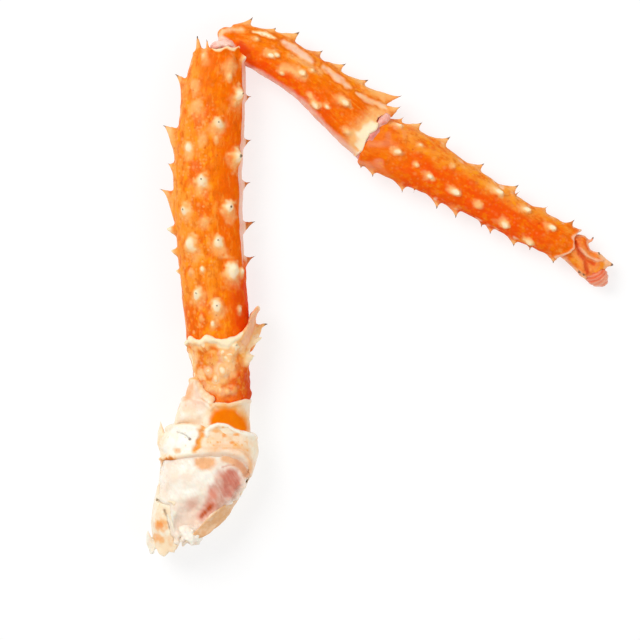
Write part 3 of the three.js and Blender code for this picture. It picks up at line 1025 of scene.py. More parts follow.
def tint_spine(skin, spine):
    """Colours a spine and the shell round its foot."""
    reach = spine.height + spine.long + spine.halo * 2 + 2
    close = np.flatnonzero(np.abs(skin.points - spine.point).max(1) < reach)
    points = skin.points[close]
    up, on, across = spine_place(spine, points.T)
    share = np.clip(up / spine.height, -0.2, 1)
    long, wide, halo = spine.long, spine.wide, spine.halo
    uneven = 1 + 0.35 * lumps(points, 1.8, 3) + 0.2 * lumps(points, 0.9, 4)
    if halo < 2 and spine.pointed:
        pale = spine.cream * ease(share * uneven, 0.05, 0.5) * ease(on, -0.6 * long, 0.6 * long)
        far = np.hypot(on / (long + halo), across / (wide + halo))
        glow = 0.35 * ease(far * uneven, 1.0, 0.5)
    else:
        spread = np.hypot((on - 0.35 * spine.lean) / (1.1 * long), across / (0.92 * wide))
        pale = spine.cream * ease(spread * uneven, 1.35, 0.25)
        far = np.hypot((on + 0.5 * long) / (long + halo), across / (wide + halo * 0.7))
        glow = 0.65 * ease(far * uneven, 1.05, 0.3)
    lean_here = spine.lean * np.clip(share, 0, 1)
    mine = np.hypot((on - lean_here) / (long + 0.5), across / (wide + 0.5)) < 1.6
    if spine.pointed:
        darkest = 0.4 if spine.kind == "peak" else 0.7
        low, high = min(0.4, 2 * darkest / spine.height), min(0.2, darkest / spine.height)
        tip = ease(share, 1 - low, 1 - high) * (share > 0.5)
        skin.tint(close, spiky=ease(share, 0.08, 0.25) * mine)
    else:
        tip = ease(np.hypot(on - spine.lean * 0.8, across), 0.42, 0.18) * (share > -0.1)
    in_reach = ease(np.abs(up), reach * 0.95, reach * 0.6)
    skin.tint(close, cream=pale * in_reach, halo=glow * in_reach, dark=tip * spine.dark_tip * mine)
    if spine.kind == "needle":
        skin.tint(close, dark=0.35 * ease(share, 0.1, 0.3) * mine)


def settle_orange(skin):
    """Starts the masks that every orange segment has, and gives back t and the angle of each point."""
    skin.settle(ORANGE_MASKS)
    skin.lay_along(skin.z - np.interp(skin.run, skin.limb.run, skin.limb.points[:, 2]))
    for spine in skin.limb.spines:
        tint_spine(skin, spine)
    return skin.t, skin.angle


# Two pointed corners of the thigh's far end: points along each, and its radius at each point.
HORNS = [
    ([(-59.0, 71.5, 10.2), (-59.8, 76.5, 10.6), (-60.4, 80.0, 11), (-60.75, 82.2, 11.1),
      (-60.95, 83.9, 11.1)], [3.1, 2.1, 1.0, 0.45, 0.14]),
    ([(-57.0, 77.5, 15.4), (-57.4, 80.6, 15.9), (-57.55, 82.7, 16.1)], [1.3, 0.55, 0.14]),
]
KNEE_RIM = [
    (-62, 78.8), (-60, 80.2), (-58, 79.0), (-56, 79.6), (-54.4, 79.0), (-52.5, 79.4), (-50.5, 80.2),
    (-48.6, 79.6), (-46.8, 80.4), (-45, 79),
]


def shape_thigh():
    limb, block, run, aside, body = lay_out("merus", 0.36)
    end = limb.past(run, aside, KNEE_RIM)
    field = round_lip(keep(body, end, 1.0), body, end, 0.5)
    field = cut(field, np.maximum(body + SHELL_WALL, -end - 3), 0.4)
    field = from_start(field, run, 1.0)
    flat_side = single(limb.width.max() * 0.87 - aside)
    near_part = single((run < 0.27 * limb.length) * FAR_OUTSIDE)
    step_in = np.maximum(np.maximum(-(body + 0.4), flat_side), near_part)
    field = cut(field, step_in, 0.5)
    add_spines(block, field, limb)
    skin = Skin(block, add_ropes(block, field, HORNS, 0.8), limb)
    skin.roughen([(6, 0.32), (2.2, 0.14), (1.1, 0.05)], 1)
    return skin


def build_thigh():
    skin = shape_thigh()
    t, angle = settle_orange(skin)
    wavy = skin.noise(5, 9)
    strip = band(angle + 2.5 * wavy, -30, 28, 1.5) * band(t + 0.03 * wavy, 0.29, 0.97, 0.05)
    strip = strip * (1 - skin.masks["spiky"]) * (0.8 + 0.2 * ease(skin.noise(2.0, 14), -0.6, 0.6))
    skin.tint(strip=strip, cream=0.7 * band(angle + 2 * wavy, -20, 12, 5) * strip)
    # paler on the upper outer side and deeper orange on the inner side: partly the shell's own colour, partly
    # painted light from the upper left and painted shade on the right
    skin.tint(light=0.75 * ease(angle + 12 * wavy, 108, 142) * ease(t, 0.1, 0.2))
    skin.tint(rich=0.9 * ease(angle + 16 * wavy, 84, 62))
    skin.tint(rich=0.85 * ease(t + 0.05 * wavy, 0.74, 0.86) * ease(angle + 14 * wavy, 134, 104))
    skin.tint(plain=0.85 * ease(angle + 14 * wavy, 100, 78))
    skin.tint(plain=0.8 * ease(t + 0.05 * wavy, 0.8, 0.9))
    skin.tint(deep=0.2 * band(angle + 14 * wavy, 25, 55, 16) * ease(t, 0.95, 0.8))
    skin.tint(deep=ease(angle, 70, 44) * ease(angle, -60, -20) * ease(t, 0.32, 0.2))
    fair = 0.7 * ease(skin.noise(3.4, 13), 0.15, 0.6) * ease(angle + 10 * wavy, 100, 120)
    skin.tint(halo=fair * ease(t, 0.6, 0.72))
    skin.tint(red=0.3 * band(angle, -20, 50, 14) * band(t, 0.0, 0.18, 0.08))
    rim = skin.past(KNEE_RIM, -1.1, -0.4, 0.5 * skin.noise(1.5, 12))
    skin.tint(cream=0.8 * rim * band(angle, 15, 100, 12))
    for line, _ in HORNS:
        tip_gap = np.linalg.norm(skin.points - line[-1], axis=1)
        skin.tint(dark=ease(tip_gap, 1.2, 0.5), halo=0.8 * ease(tip_gap, 4.5, 1.5))
    skin.make("thigh", "merus", "orange_shell", "bright_shell")


CARPUS_RIM = [
    (7.5, 61), (5.2, 59.4), (2.5, 57.0), (0.3, 55.8), (-0.6, 54.2), (-1.6, 52.4), (-3.6, 51.4),
    (-4.6, 49.2), (-5.2, 47.2), (-5.9, 45.6), (-8.6, 43.6),
]
CARPUS_CREAM = [(-8.4, 51.2), (-6.4, 53.6), (-3.0, 56.0), (0.6, 57), (1, 52), (-4, 44), (-7.6, 44), (-9, 47)]
# Painted highlight bands, pale cream and pink, between the outer spines and the knobs: points along each, its
# half width, how cream it is and how pink.
CARPUS_HIGHLIGHT_BANDS = [
    ([(-42.2, 85.2), (-38.5, 84.5), (-35.2, 83.2)], 0.8, 1.0, 0.0),
    ([(-31.8, 81.4), (-28.6, 79.6), (-25, 77.0), (-22.8, 75.2)], 1.2, 0.0, 0.35),
    ([(-18.8, 73.5), (-16.2, 71.4), (-12.8, 68.8), (-9.8, 66.5)], 0.95, 0.15, 0.25),
    ([(-8.0, 64.8), (-4.2, 62.6), (0.2, 60.9), (4.2, 59.6)], 0.7, 0.25, 0.0),
]
CARPUS_TRAIL = [(-32.3, 72.6), (-29.5, 72.2), (-27.2, 70.6), (-25.4, 70.2)]
# the line of a painted highlight along the ridge below the bands
UNDER_HIGHLIGHT = [(-30, 77), (-26, 75), (-23, 73.6), (-19.6, 71.6)]
KNEE_MEMBRANE = [(-57, 82.5), (-52.6, 84), (-50.4, 82.6), (-48, 80.4), (-52, 77)]
KNEE_LOBES = [(-53.4, 83.6), (-52.2, 85.8), (-49.2, 86.2), (-46, 86)]
KNEE_CREASE = [(-46.8, 80.4), (-44.6, 77.6), (-43.0, 74.6)]


def shape_outer_knee():
    limb, block, run, aside, body = lay_out("carpus", 0.32)
    end = limb.past(run, aside, CARPUS_RIM)
    hinge = egg(block.at, (-50.4, 82.6, 9.8), (3.4, 3.8, 4.8), -20)
    corner = egg(block.at, (-51.9, 85.0, 10.4), (2.2, 1.7, 2.6), 20)
    notch = egg(block.at, (-52.4, 80.2, 13.6), (2.4, 1.9, 2.6), 25)
    field = join(from_start(keep(body, end, 0.8), run, 1.5), hinge, 1.6)
    field = cut(join(field, corner, 1.0), notch, 0.8)
    field = round_lip(field, body, end, 0.45)
    field = cut(field, np.maximum(body + 0.7, -end - 0.7), 0.3)
    field = field + single(0.6 * band(limb.angle(run, aside, block.z), 116, 142, 14) * ease(run, 2, 8))
    add_spines(block, field, limb)
    skin = Skin(block, field, limb)
    skin.roughen([(5, 0.3), (2, 0.16), (1.0, 0.05)], 21)
    return skin


def tint_highlight_bands(skin, wavy, fine, high):
    for line, half_width, cream, pink in CARPUS_HIGHLIGHT_BANDS:
        near_tip = np.minimum(*(np.hypot(skin.x - x, skin.y - y) for x, y in (line[0], line[-1])))
        gap = line_gap(skin.x, skin.y, line) + 0.35 * wavy + 0.4 * fine + 0.35 * ease(near_tip, 2.5, 0.5)
        inside = ease(gap, half_width + 0.5, half_width - 0.5) * high
        # painted highlight bands, with darker outlines along their edges
        skin.tint(
            gleam=0.75 * inside * ease(skin.noise(1.7, 35), -1.2, 0.2),
            cream=cream * inside * ease(fine, -1.2, 0.3),
            strip=pink * ease(gap, half_width, half_width - 0.8) * high,
            edge=0.6 * band(gap, half_width + 0.5, half_width + 0.7, 0.4) * high,
        )


def tint_hinge(skin, fine):
    """Colours the knee's hinge, with its membrane, painted highlights on its lobes and painted shade in the
    crease beside it.
    """
    top = ease(skin.z, 8, 10)
    skin.tint(strip=skin.within(KNEE_MEMBRANE, 0.6, -0.6) * top, rich=0.8 * ease(skin.t, 0.16, 0.04))
    # painted highlights along the hinge's lobes
    skin.tint(halo=0.8 * skin.near(KNEE_LOBES, 1.8, 0.4, 0.5 * fine) * top)
    skin.tint(gleam=0.5 * skin.near(KNEE_LOBES, 0.9, 0.1, 0.5 * fine) * ease(skin.z, 9, 11))
    skin.tint(rich=0.8 * skin.spot((-49.4, 82.9), (2.0, 1.5), 1.3, 0.6, 0.3 * fine))
    # painted shade: the crease where the knee enters the thigh is darkened to deep red-orange
    crease_shade = skin.near(KNEE_CREASE, 2.6, 0.4, 0.4 * fine)
    skin.tint(deep=crease_shade, red=0.6 * crease_shade)


def build_outer_knee():
    skin = shape_outer_knee()
    t, angle = settle_orange(skin)
    wavy, fine = skin.noise(4, 29), skin.noise(1.4, 30)
    high = ease(skin.z, 9, 11) * (1 - skin.masks["spiky"])
    tint_highlight_bands(skin, wavy, fine, high)
    skin.tint(light=0.5 * ease(angle + 14 * wavy, 112, 165), plain=0.6)
    skin.tint(deep=0.9 * ease(angle + 24 * wavy, 100, 60) * ease(angle, -90, -30) * ease(t, 0.92, 0.6))
    trail = line_gap(skin.x, skin.y, CARPUS_TRAIL) + 0.5 * fine + 0.5 * skin.noise(2.0, 34)
    skin.tint(halo=0.8 * ease(trail, 2.4, 0.2) * high, cream=0.5 * ease(trail, 1.0, -0.6) * high)
    # a painted highlight, light and pale, along the ridge below the bands, which the deeper outer side spares
    under_highlight = line_gap(skin.x, skin.y, UNDER_HIGHLIGHT) + 0.7 * wavy
    skin.tint(light=ease(under_highlight, 2.2, 0.6) * high, halo=0.55 * ease(under_highlight, 1.4, 0.0) * high)
    skin.tint(rich=0.6 * ease(angle + 10 * wavy, 150, 110) * (1 - 0.8 * ease(under_highlight, 2.4, 0.8) * high))
    inner_edge = ease(angle + 6 * wavy + 1.2 * fine, 42, 22) * ease(angle, -36, -26)
    blotchy = 0.62 + 0.26 * ease(skin.noise(1.8, 36) + 0.4 * fine, -0.6, 0.6)
    skin.tint(strip=blotchy * inner_edge * band(t + 0.03 * wavy, 0.1, 0.96, 0.05))
    streaks = 1.2 * lumps(np.stack([skin.aside, skin.run * 0.25, skin.z * 0.5], 1), 1.0, 33)
    fade = outline_gap(skin.x, skin.y, CARPUS_CREAM) + 0.9 * wavy + 0.7 * fine + streaks
    upper = ease(skin.z, 6, 9)
    skin.tint(halo=ease(fade, 5.0, -0.8) * upper, cream=0.95 * ease(fade, 2.0, -2.0) * upper)
    skin.tint(cream=0.8 * skin.past(CARPUS_RIM, -0.9, -0.3, 0.3 * fine) * ease(angle, 150, 120))
    tint_hinge(skin, fine)
    skin.make("outer_knee", "carpus", "orange_shell", "bright_shell")


TOE_RIM = [
    (68.0, 19.6), (66.0, 18.2), (64.9, 16.8), (64.9, 14.8), (65.0, 13.2), (63.4, 11.6), (61.4, 11.0),
    (59, 10.2),
]


def shape_outer_leg():
    limb, block, run, aside, body = lay_out("propodus", 0.32)
    end = limb.past(run, aside, TOE_RIM)
    field = round_lip(from_start(keep(body, end, 0.8), run, 1.0), body, end, 0.55)
    field = cut(field, np.maximum(body + 0.9, -end - 1.0), 0.3)
    add_spines(block, field, limb)
    skin = Skin(block, field, limb)
    skin.roughen([(5, 0.3), (2, 0.14), (1.0, 0.05)], 41)
    return skin


def build_outer_leg():
    skin = shape_outer_leg()
    t, angle = settle_orange(skin)
    wavy, fine = skin.noise(4, 49), skin.noise(1.4, 50)
    clear = 1 - skin.masks["spiky"]
    near_end = ease(t + 0.05 * wavy, 0.2, 0.06)
    skin.tint(light=0.8 * ease(angle + 12 * wavy, 92, 140) * ease(t, 0.95, 0.75))
    skin.tint(light=0.8 * near_end * ease(wavy, -0.7, 0.2))
    # painted yellow highlights along the inner edge
    skin.tint(light=0.9 * band(angle + 8 * wavy, 2, 26, 10) * ease(fine + wavy, 0.2, 0.9))
    # painted highlight patches near the near end
    skin.tint(gleam=0.25 * near_end * ease(skin.noise(3.0, 53), -0.2, 0.6))
    skin.tint(rich=0.6 * ease(angle + 16 * wavy, 128, 84))
    skin.tint(plain=np.maximum(0.9 * ease(t + 0.03 * wavy, 0.17, 0.08), 0.6))
    skin.tint(deep=0.85 * band(angle + 16 * wavy, 5, 96, 24) * ease(t, 0.02, 0.3) * ease(t, 1.0, 0.85))
    skin.tint(deep=0.3 * ease(t + 0.03 * wavy, 0.16, 0.05))
    # painted highlights along both edges and along the lip at the far end
    glints = ease(skin.noise(2.2, 52) + 0.6 * fine, 0.1, 0.9) * ease(t, 0.2, 0.35) * clear
    skin.tint(gleam=0.65 * band(angle + 10 * wavy, 4, 24, 10) * glints)
    skin.tint(gleam=0.7 * band(angle + 8 * wavy, 152, 180, 8) * glints)
    skin.tint(gleam=0.7 * skin.past(TOE_RIM, -1.0, -0.3, 0.4 * fine) * clear)
    skin.make("outer_leg", "propodus", "orange_shell", "bright_shell")


TOE_OUTLINE = [
    (60.5, 17.5), (65, 18.1), (69, 17.7), (70, 16.7), (69.8, 15), (70.7, 13), (72.3, 12), (74, 11),
    (75.3, 9.7), (76, 8), (75.7, 6.7), (76.3, 4.3), (76, 2.7), (74.7, 1.2), (72, 1), (69.7, 2.3), (67.7, 4),
    (65.7, 6), (63.3, 8.3), (60.5, 10.9),
]
TOE_GROOVES = [[(65.2, 15.4), (66.8, 11.6), (68.7, 9.5), (71.4, 8.2)], [(68.7, 9.5), (68.9, 7.2), (69.4, 5)]]
TOE_EDGE = [(66.4, 13.4), (69.2, 10.8), (72.0, 9.3), (74.4, 9.3)]
# The toe's spikes: points along each, and its radius at each point.
TOE_SPIKES = [
    ([(68.8, 15.6, 7.0), (70.7, 15.9, 7.6), (71.6, 17.2, 8.0)], [1.2, 0.5, 0.14]),
    ([(72.0, 11.0, 7.0), (73.3, 11.8, 7.6), (73.9, 11.9, 7.8)], [1.0, 0.4, 0.14]),
    ([(72.6, 9.6, 6.0), (75.6, 8.4, 6.6), (78.0, 7.8, 6.8)], [2.6, 1.2, 0.14]),
    ([(67.8, 6.2, 8.0), (66.7, 5.5, 8.6), (66.3, 5.2, 8.7)], [1.0, 0.4, 0.14]),
    ([(69.0, 5.2, 8.0), (68.2, 4.4, 8.6), (67.9, 4.1, 8.7)], [0.9, 0.35, 0.14]),
]
LAYER_MIDDLE = (70.2, 8.2)
LAYER_TURNS = 2 * math.pi / 1.15  # the layers in the toe's flesh are 1.15 mm apart
SHELL_END = 4.2  # how far from the layers' middle the toe's shell ends


def from_layers(x, y):
    """How far each point lies from the middle of the layers in the toe's flesh."""
    return np.hypot(x - LAYER_MIDDLE[0], y - LAYER_MIDDLE[1])


def groove_gap(x, y):
    return np.minimum(*(line_gap(x, y, line) for line in TOE_GROOVES))


def shape_toe():
    limb, block, run, _, _ = lay_out("dactyl", 0.22, 3.0)
    x, y, z = block.at
    middle = np.interp(run, limb.run, limb.points[:, 2])
    field = pillow(outline_gap(x, y, TOE_OUTLINE), z - middle, 3.9)
    relief = 0.9 * ease(groove_gap(x, y), 1.1, 0.0) - 0.45 * ease(line_gap(x, y, TOE_EDGE), 0.9, 0.1)
    field = field + single(relief * ease(z, 6, 8))
    beyond = np.maximum(np.maximum(SHELL_END - from_layers(x, y), y - 6.4), 69.4 - x)
    field = cut(field, np.maximum(beyond, 5.0 - z), 0.4)
    skin = Skin(block, add_ropes(block, field, TOE_SPIKES, 0.7), limb)
    skin.roughen([(3, 0.35), (1.5, 0.2), (0.8, 0.08)], 61)
    return skin


def build_toe():
    skin = shape_toe()
    settle_orange(skin)
    fine = skin.noise(1.6, 67)
    top = ease(skin.z, 5, 7)
    groove = groove_gap(skin.x, skin.y)
    skin.tint(light=0.9 * ease(skin.noise(3, 66), -0.4, 0.3), plain=0.8)
    skin.tint(deep=0.55 * ease(skin.noise(2, 68), 0.0, 0.5))
    skin.tint(deep=0.7 * ease(groove + 0.5 * fine, 2.4, 0.8) * top)
    skin.tint(halo=0.3 * ease(groove + 0.5 * fine, 3.0, 1.6) * top)
    skin.tint(red=0.7 * ease(groove + 0.3 * fine, 1.1, 0.1) * top)
    # painted highlights along the toe's outline and along its edge ridge
    skin.tint(gleam=0.5 * skin.within(TOE_OUTLINE, -1.2, -0.2, 0.4 * fine))
    skin.tint(gleam=0.5 * skin.near(TOE_EDGE, 0.8, 0.1, 0.3 * fine) * top)
    for line, _ in TOE_SPIKES:
        skin.tint(dark=0.9 * ease(np.linalg.norm(skin.points - line[-1], axis=1), 1.1, 0.5))
    skin.make("toe", "dactyl", "orange_shell", "bright_shell")


def build_toe_flesh():
    limb = Limb("dactyl")
    block = limb.block(0.22, 3.0)
    field = egg(block.at, (72.6, 4.4, 5.0), (4.5, 3.5, 4.3), -35)
    layers = 0.11 * np.sin(from_layers(block.x, block.y) * LAYER_TURNS)
    skin = Skin(block, field + single(layers), limb)
    skin.roughen([(2.5, 0.25), (1.2, 0.12)], 71)
    skin.settle(MEAT_MASKS)
    skin.lay_along(skin.z)
    around, uneven = from_layers(skin.x, skin.y), skin.noise(2, 72)
    ridges = np.sin(around * LAYER_TURNS + 1.2 * uneven)
    skin.tint(tan=0.6, coral=0.82 + 0.14 * ridges - 0.25 * ease(around + 0.4 * uneven, 5.6, 7.2))
    skin.make("toe_flesh_layers", "toe_flesh", "meat")


# ---- Soft skins at the joints ----

# Each skin is made of joined eggs, given as their middles, radii and turns.
KNEE_EGGS = [
    ((-50.5, 77.5, 10), (5.6, 5.4, 4.6), -20),
    ((-54.2, 80.6, 12.6), (2.6, 1.6, 2.6), 15),
    ((-50.8, 81.2, 13.4), (2.2, 1.5, 2.2), -10),
]
WRIST_EGGS = [
    ((-2.4, 50.4, 9), (4.0, 8.7, 6.6), -38),
    ((0.9, 55.6, 13.2), (3.0, 1.6, 2.6), 48),
    ((-2.7, 50.9, 14.2), (2.8, 1.3, 2.1), 44),
]


def build_fold(name, node, eggs, seed, red):
    middles = np.array([middle for middle, _, _ in eggs])[:, :2]
    reach = max(max(radii) for _, radii, _ in eggs) + 1.5
    block = Block([*(middles.min(0) - reach), 0], [*(middles.max(0) + reach), 20], 0.27)
    field = np.float32(FAR_OUTSIDE)
    for middle, radii, turn in eggs:
        field = join(field, egg(block.at, middle, radii, turn), 0.5)
    skin = Skin(block, field)
    skin.roughen([(3, 0.4), (1.3, 0.25), (0.7, 0.08)], seed)
    skin.settle(["red"])
    skin.tint(red=red * (0.45 + 0.55 * ease(skin.noise(2.2, seed + 5), -0.3, 0.6)))
    skin.make(name, node, "soft_skin")


# ---- The ring above the shoulder, and the shoulder ----

ISCHIUM_RIM = [
    (-70, -18.5), (-64.7, -17.4), (-63.3, -16.3), (-59.7, -17.3), (-57.3, -15.7), (-52.9, -17.0),
    (-50.6, -17.3), (-48.3, -16.3), (-44.3, -13.3), (-42.7, -8.3), (-40.7, -6), (-36, -3),
]
# The upright flange at the ring's inner end: points along its fold, and its radius at each point.
FLANGE = (
    [(-44.6, -17.5, 13.5), (-43.4, -13.5, 13.8), (-42.6, -9.8, 13.2), (-41.4, -7.8, 12.4)],
    [1.4, 0.9, 0.6, 0.25],
)
# The ring's two cream teeth: points along each, and its radius at each point.
RING_TEETH = [
    ([(-46.6, -23.8, 15.8), (-43.6, -23.2, 15.0), (-41.3, -22.4, 14.2)], [2.6, 1.5, 0.14]),
    ([(-45.6, -18.8, 14.4), (-42.4, -17.6, 13.8), (-39.0, -16.2, 13.0)], [2.6, 1.5, 0.14]),
]
RING_DEEP = [(-47.4, -27.2), (-49.8, -30.6), (-51.2, -33.0), (-49.4, -36.8), (-40, -37), (-40, -27)]
RING_RIDGE = [(-58.2, -32.4), (-55, -33.6), (-52, -34.4), (-49, -34.6)]
# Painted highlights on the ring's brightest lumps: the middle and the radius of each.
RING_GLINTS = [
    (-52.3, -21.4, 0.9), (-51.2, -23.0, 1.2), (-50.2, -24.4, 0.9), (-52.3, -27.2, 1.6),
    (-57, -27.4, 0.9), (-48.5, -19.2, 1.6), (-47.2, -19.6, 1.0), (-54.4, -30.8, 0.8),
]
BASIS_RIM = [(-72, -36), (-59, -36.7), (-56, -39.3), (-54.7, -38), (-50, -38.3), (-44.3, -37), (-36, -38)]
LOBE_OUTLINE = [
    (-68.7, -46), (-67.3, -40.7), (-65.7, -36.3), (-64.7, -35.7), (-63.3, -30.7), (-62, -29.3),
    (-60.4, -29.6), (-59, -33.4), (-57.6, -35.3), (-55.7, -35.3), (-55, -36.7), (-56, -39),
    (-58, -42.7), (-58, -47),
]
LOBE_PINK = [(-65.6, -37.6), (-64.2, -32.6), (-62, -31.2), (-61.4, -34.6), (-62.4, -37.6)]
LOBE_TOP = [(-63.3, -29.7), (-61, -29.3), (-59.7, -30.7), (-58.7, -33.3), (-57.7, -35.3), (-55.7, -35.3)]
LOBE_BEADS = [
    (-62.6, -30.9, 17.6), (-60.9, -30.6, 17.6), (-59.7, -32.4, 18.2), (-58.9, -34.4, 18.5),
    (-57.4, -35.6, 18.8), (-55.8, -36.6, 19.0), (-56.2, -38.6, 19.0),
]
BEAD_RADII = (1.3, 1.15, 1.1)
BASIS_PATCH = [
    (-55.7, -43.3), (-54.7, -40.7), (-51.3, -39.7), (-48, -40.3), (-45.7, -42.7), (-43.7, -46.7),
    (-45.3, -48.7), (-56, -48),
]
SCALLOP = [
    (-57.4, -48.7), (-57.3, -47), (-56.3, -45.7), (-53.7, -44.7), (-50.3, -45.3), (-48, -46.7),
    (-45.3, -47.7), (-40, -49),
]
COXA_FRONT = [
    (-74, -47), (-68.7, -45.3), (-64.7, -45), (-59, -45.7), (-57.3, -46.5), (-56.3, -45.7),
    (-53.7, -44.7), (-50.3, -45.3), (-48, -46.7), (-45.3, -47.7), (-38, -50),
]
PLATE = [
    (-68.7, -45.3), (-64.7, -45), (-59, -45.7), (-59, -48), (-60.3, -51.3), (-62.3, -54.7),
    (-67.3, -55.7), (-71.3, -55), (-72.7, -53.3), (-70.7, -49.3),
]
PLATE_LINE = [(-67.3, -47.7), (-65.3, -48.3), (-64, -49), (-63, -50)]
ORANGE_CRACK = [
    (-58.4, -45.6), (-59.4, -47.2), (-59.0, -49.0), (-60.2, -50.6), (-60.2, -52.2), (-61.4, -53.6),
]
SPUR = [(-73.3, -44.3), (-74.3, -48), (-74.7, -52), (-73.7, -54.7), (-72.3, -53.3), (-71.7, -50), (-72, -47)]
ARCH = [
    (-73.3, -56.9), (-69.3, -56), (-64.7, -55), (-60, -54.3), (-55, -53.8), (-50, -54), (-46, -55.3),
    (-43.8, -57.4), (-42.8, -60), (-43.4, -62.6),
]
ARCH_RADII = [0.6, 1.0, 1.1, 1.1, 1.1, 1.1, 1.2, 1.1, 0.9, 0.5]
WINDOW = [
    (-71.9, -57.3), (-66.7, -56.5), (-60, -56), (-55, -55.7), (-50, -55.9), (-46.4, -57.2), (-44, -59.6),
    (-43.4, -62), (-44.6, -65), (-47, -68.6), (-50, -71), (-54.6, -73.6), (-58, -76.8), (-60.8, -80.2),
    (-63.3, -82.6), (-66, -85), (-68, -80.7), (-69.3, -74.7), (-67.3, -70.7), (-70.7, -70.3),
    (-73.3, -69), (-73.2, -62.3),
]
NEAR_END = [
    (-79, -84), (-77.3, -87.3), (-76, -88.7), (-74.6, -86.6), (-73.4, -88.4), (-71.6, -89.3), (-70, -87.4),
    (-68.2, -88), (-66.4, -84.3), (-63.7, -84.3), (-60, -82.8), (-56.7, -81.6), (-53.3, -79.0),
    (-50.3, -75.4), (-47.8, -71.4), (-44, -66),
]
CRACKS = [
    [(-74, -70.6), (-71.7, -71.2), (-69.2, -71.6), (-69.0, -73.2)],
    [(-71.4, -73.7), (-70.2, -77.3), (-69.2, -80.7), (-67.6, -84.6)],
]
# Small stains on the shoulder's shell: the middle, the two half sizes and how strong each is.
AMBER_STAINS = [
    ((-70.4, -57.3), (3.3, 1.7), 1.0), ((-67.4, -53.9), (1.6, 1.0), 0.7), ((-72.7, -78.8), (2.6, 2.6), 0.88),
    ((-74.0, -83.2), (2.6, 1.8), 0.72), ((-69.4, -83.6), (1.0, 2.0), 0.4), ((-72.6, -62.0), (1.2, 0.7), 0.6),
    ((-58.9, -48.1), (0.7, 0.7), 0.85), ((-54.4, -47.3), (1.9, 0.8), 0.7), ((-51.5, -48.8), (0.8, 0.7), 0.84),
    ((-47.4, -48.6), (1.7, 0.6), 0.8), ((-53.9, -51.0), (0.7, 0.5), 0.85), ((-48.9, -51.2), (1.0, 0.6), 0.85),
    ((-56.9, -51.0), (0.7, 0.6), 0.7), ((-46.9, -53.0), (1.9, 0.6), 0.7),
]
CREAM_FIELD = [
    (-57.3, -49), (-56, -46.6), (-53.5, -45.6), (-50, -46.2), (-46, -48.8), (-43, -51), (-43, -55),
    (-50, -53.6), (-58.5, -54),
]
SHELL_BAND = [(-47.6, -70.3), (-52.2, -74.8), (-57.2, -79.2), (-61, -82.6)]
FLAP = [
    (-77.4, -80.6), (-76.0, -83.4), (-75.2, -86.4), (-75.4, -88.7), (-76.7, -88.9), (-77.9, -85.6),
    (-78.1, -82.2),
]

MEAT_TAN = [
    (-61.9, -56.0), (-58, -55.6), (-54.6, -56.2), (-54.1, -58.4), (-56, -60.3), (-59, -60.7),
    (-61.6, -58.8),
]
MEAT_EDGE = [(-51.4, -56.4), (-48.8, -57.0), (-46.4, -58.8), (-44.6, -61.6)]
MEAT_LINE = [(-52.3, -59.3), (-50.4, -58.7), (-48.4, -58.6)]
MEAT_PURPLE = [
    (-52.6, -62.2), (-50.4, -60.2), (-47.3, -60.4), (-46.0, -63), (-47.2, -66.4), (-49.4, -69.2),
    (-52, -69.4), (-52.4, -65.6),
]
MEAT_PINK = [
    (-56.6, -65.4), (-54.9, -64.8), (-53.6, -68), (-53.0, -71.4), (-56.3, -73.6), (-58.4, -72),
    (-57.0, -68.6),
]
MEAT_MAUVE = [
    (-53.4, -60.4), (-46.9, -59.6), (-45.7, -64.7), (-48, -69.3), (-52, -72.6), (-57, -75.6),
    (-58.6, -73.6), (-55.6, -70), (-55, -65),
]
MEAT_BROWN = [(-59.2, -75.6), (-57.6, -73.9), (-55.8, -72.2)]
MEAT_CLEAR = [
    (-67, -71), (-61, -69.5), (-57.5, -71.5), (-57.6, -75.5), (-60.5, -79.5), (-64.5, -80.5), (-67.4, -76),
]
STRAND_TURN = math.radians(35)


def inside_of(block, name, grow):
    """The field of another limb's bare body, made larger by grow."""
    other = Limb(name)
    return other.body(*other.plan(block.x, block.y), block.z, grow)


def shape_ring():
    """The ring's skin, and how far into one of its rough domes each point is."""
    limb, block, run, _, body = lay_out("ischium", 0.32, 5.0)
    x, y, _ = block.at
    past_rim = single(above_line(x, y, ISCHIUM_RIM))
    room = np.maximum(inside_of(block, "merus", -0.6), body + 1.0)
    field = join(keep(body, past_rim, 0.6), np.hypot(body + 0.1, past_rim + 1.0) - 1.0, 0.8)
    field = cut(field, np.maximum(room, single(-22 - y)), 0.3)
    outside = single(inside_of(block, "basis", -1.0) - 4 * ease(y, -38.5, -34))
    field = keep(from_start(field, run, 1.5), outside, 0.4)
    add_spines(block, field, limb)
    skin = Skin(block, add_ropes(block, field, [FLANGE, *RING_TEETH], 1.6), limb)
    domes = 0.6 - pebbles(skin.points, 4.2, 3)
    skin.roughen([(4, 0.35), (2.0, 0.2), (1.0, 0.1), (2.6, 0.3 * ease(domes, -0.4, 0.4))], 81)
    skin.push(1.1 * np.clip(domes, -0.3, 0.5) - 0.1)
    return skin, domes


def tint_teeth(skin, wavy, fine):
    """Colours the ring's teeth, and its flange's fold, which is painted deeper orange with a painted
    highlight.
    """
    for line, _ in RING_TEETH:
        gap = rope(skin.points.T, line, 0.0) + 0.5 * fine + 0.3 * wavy
        reach = np.clip((skin.x - line[0][0]) / (line[-1][0] - line[0][0]), 0, 1)
        skin.tint(cream=ease(gap, 3.6, 1.8) * (0.45 + 0.55 * reach))
    fold = [point[:2] for point in FLANGE[0]]
    on_fold = skin.near(fold, 2.2, 0.8, 0.4 * fine) * ease(skin.z, 8, 10)
    skin.masks["cream"] *= 1 - 0.8 * on_fold
    # a painted highlight and deeper orange along the flange's fold
    skin.tint(deep=0.5 * on_fold, gleam=0.6 * on_fold)


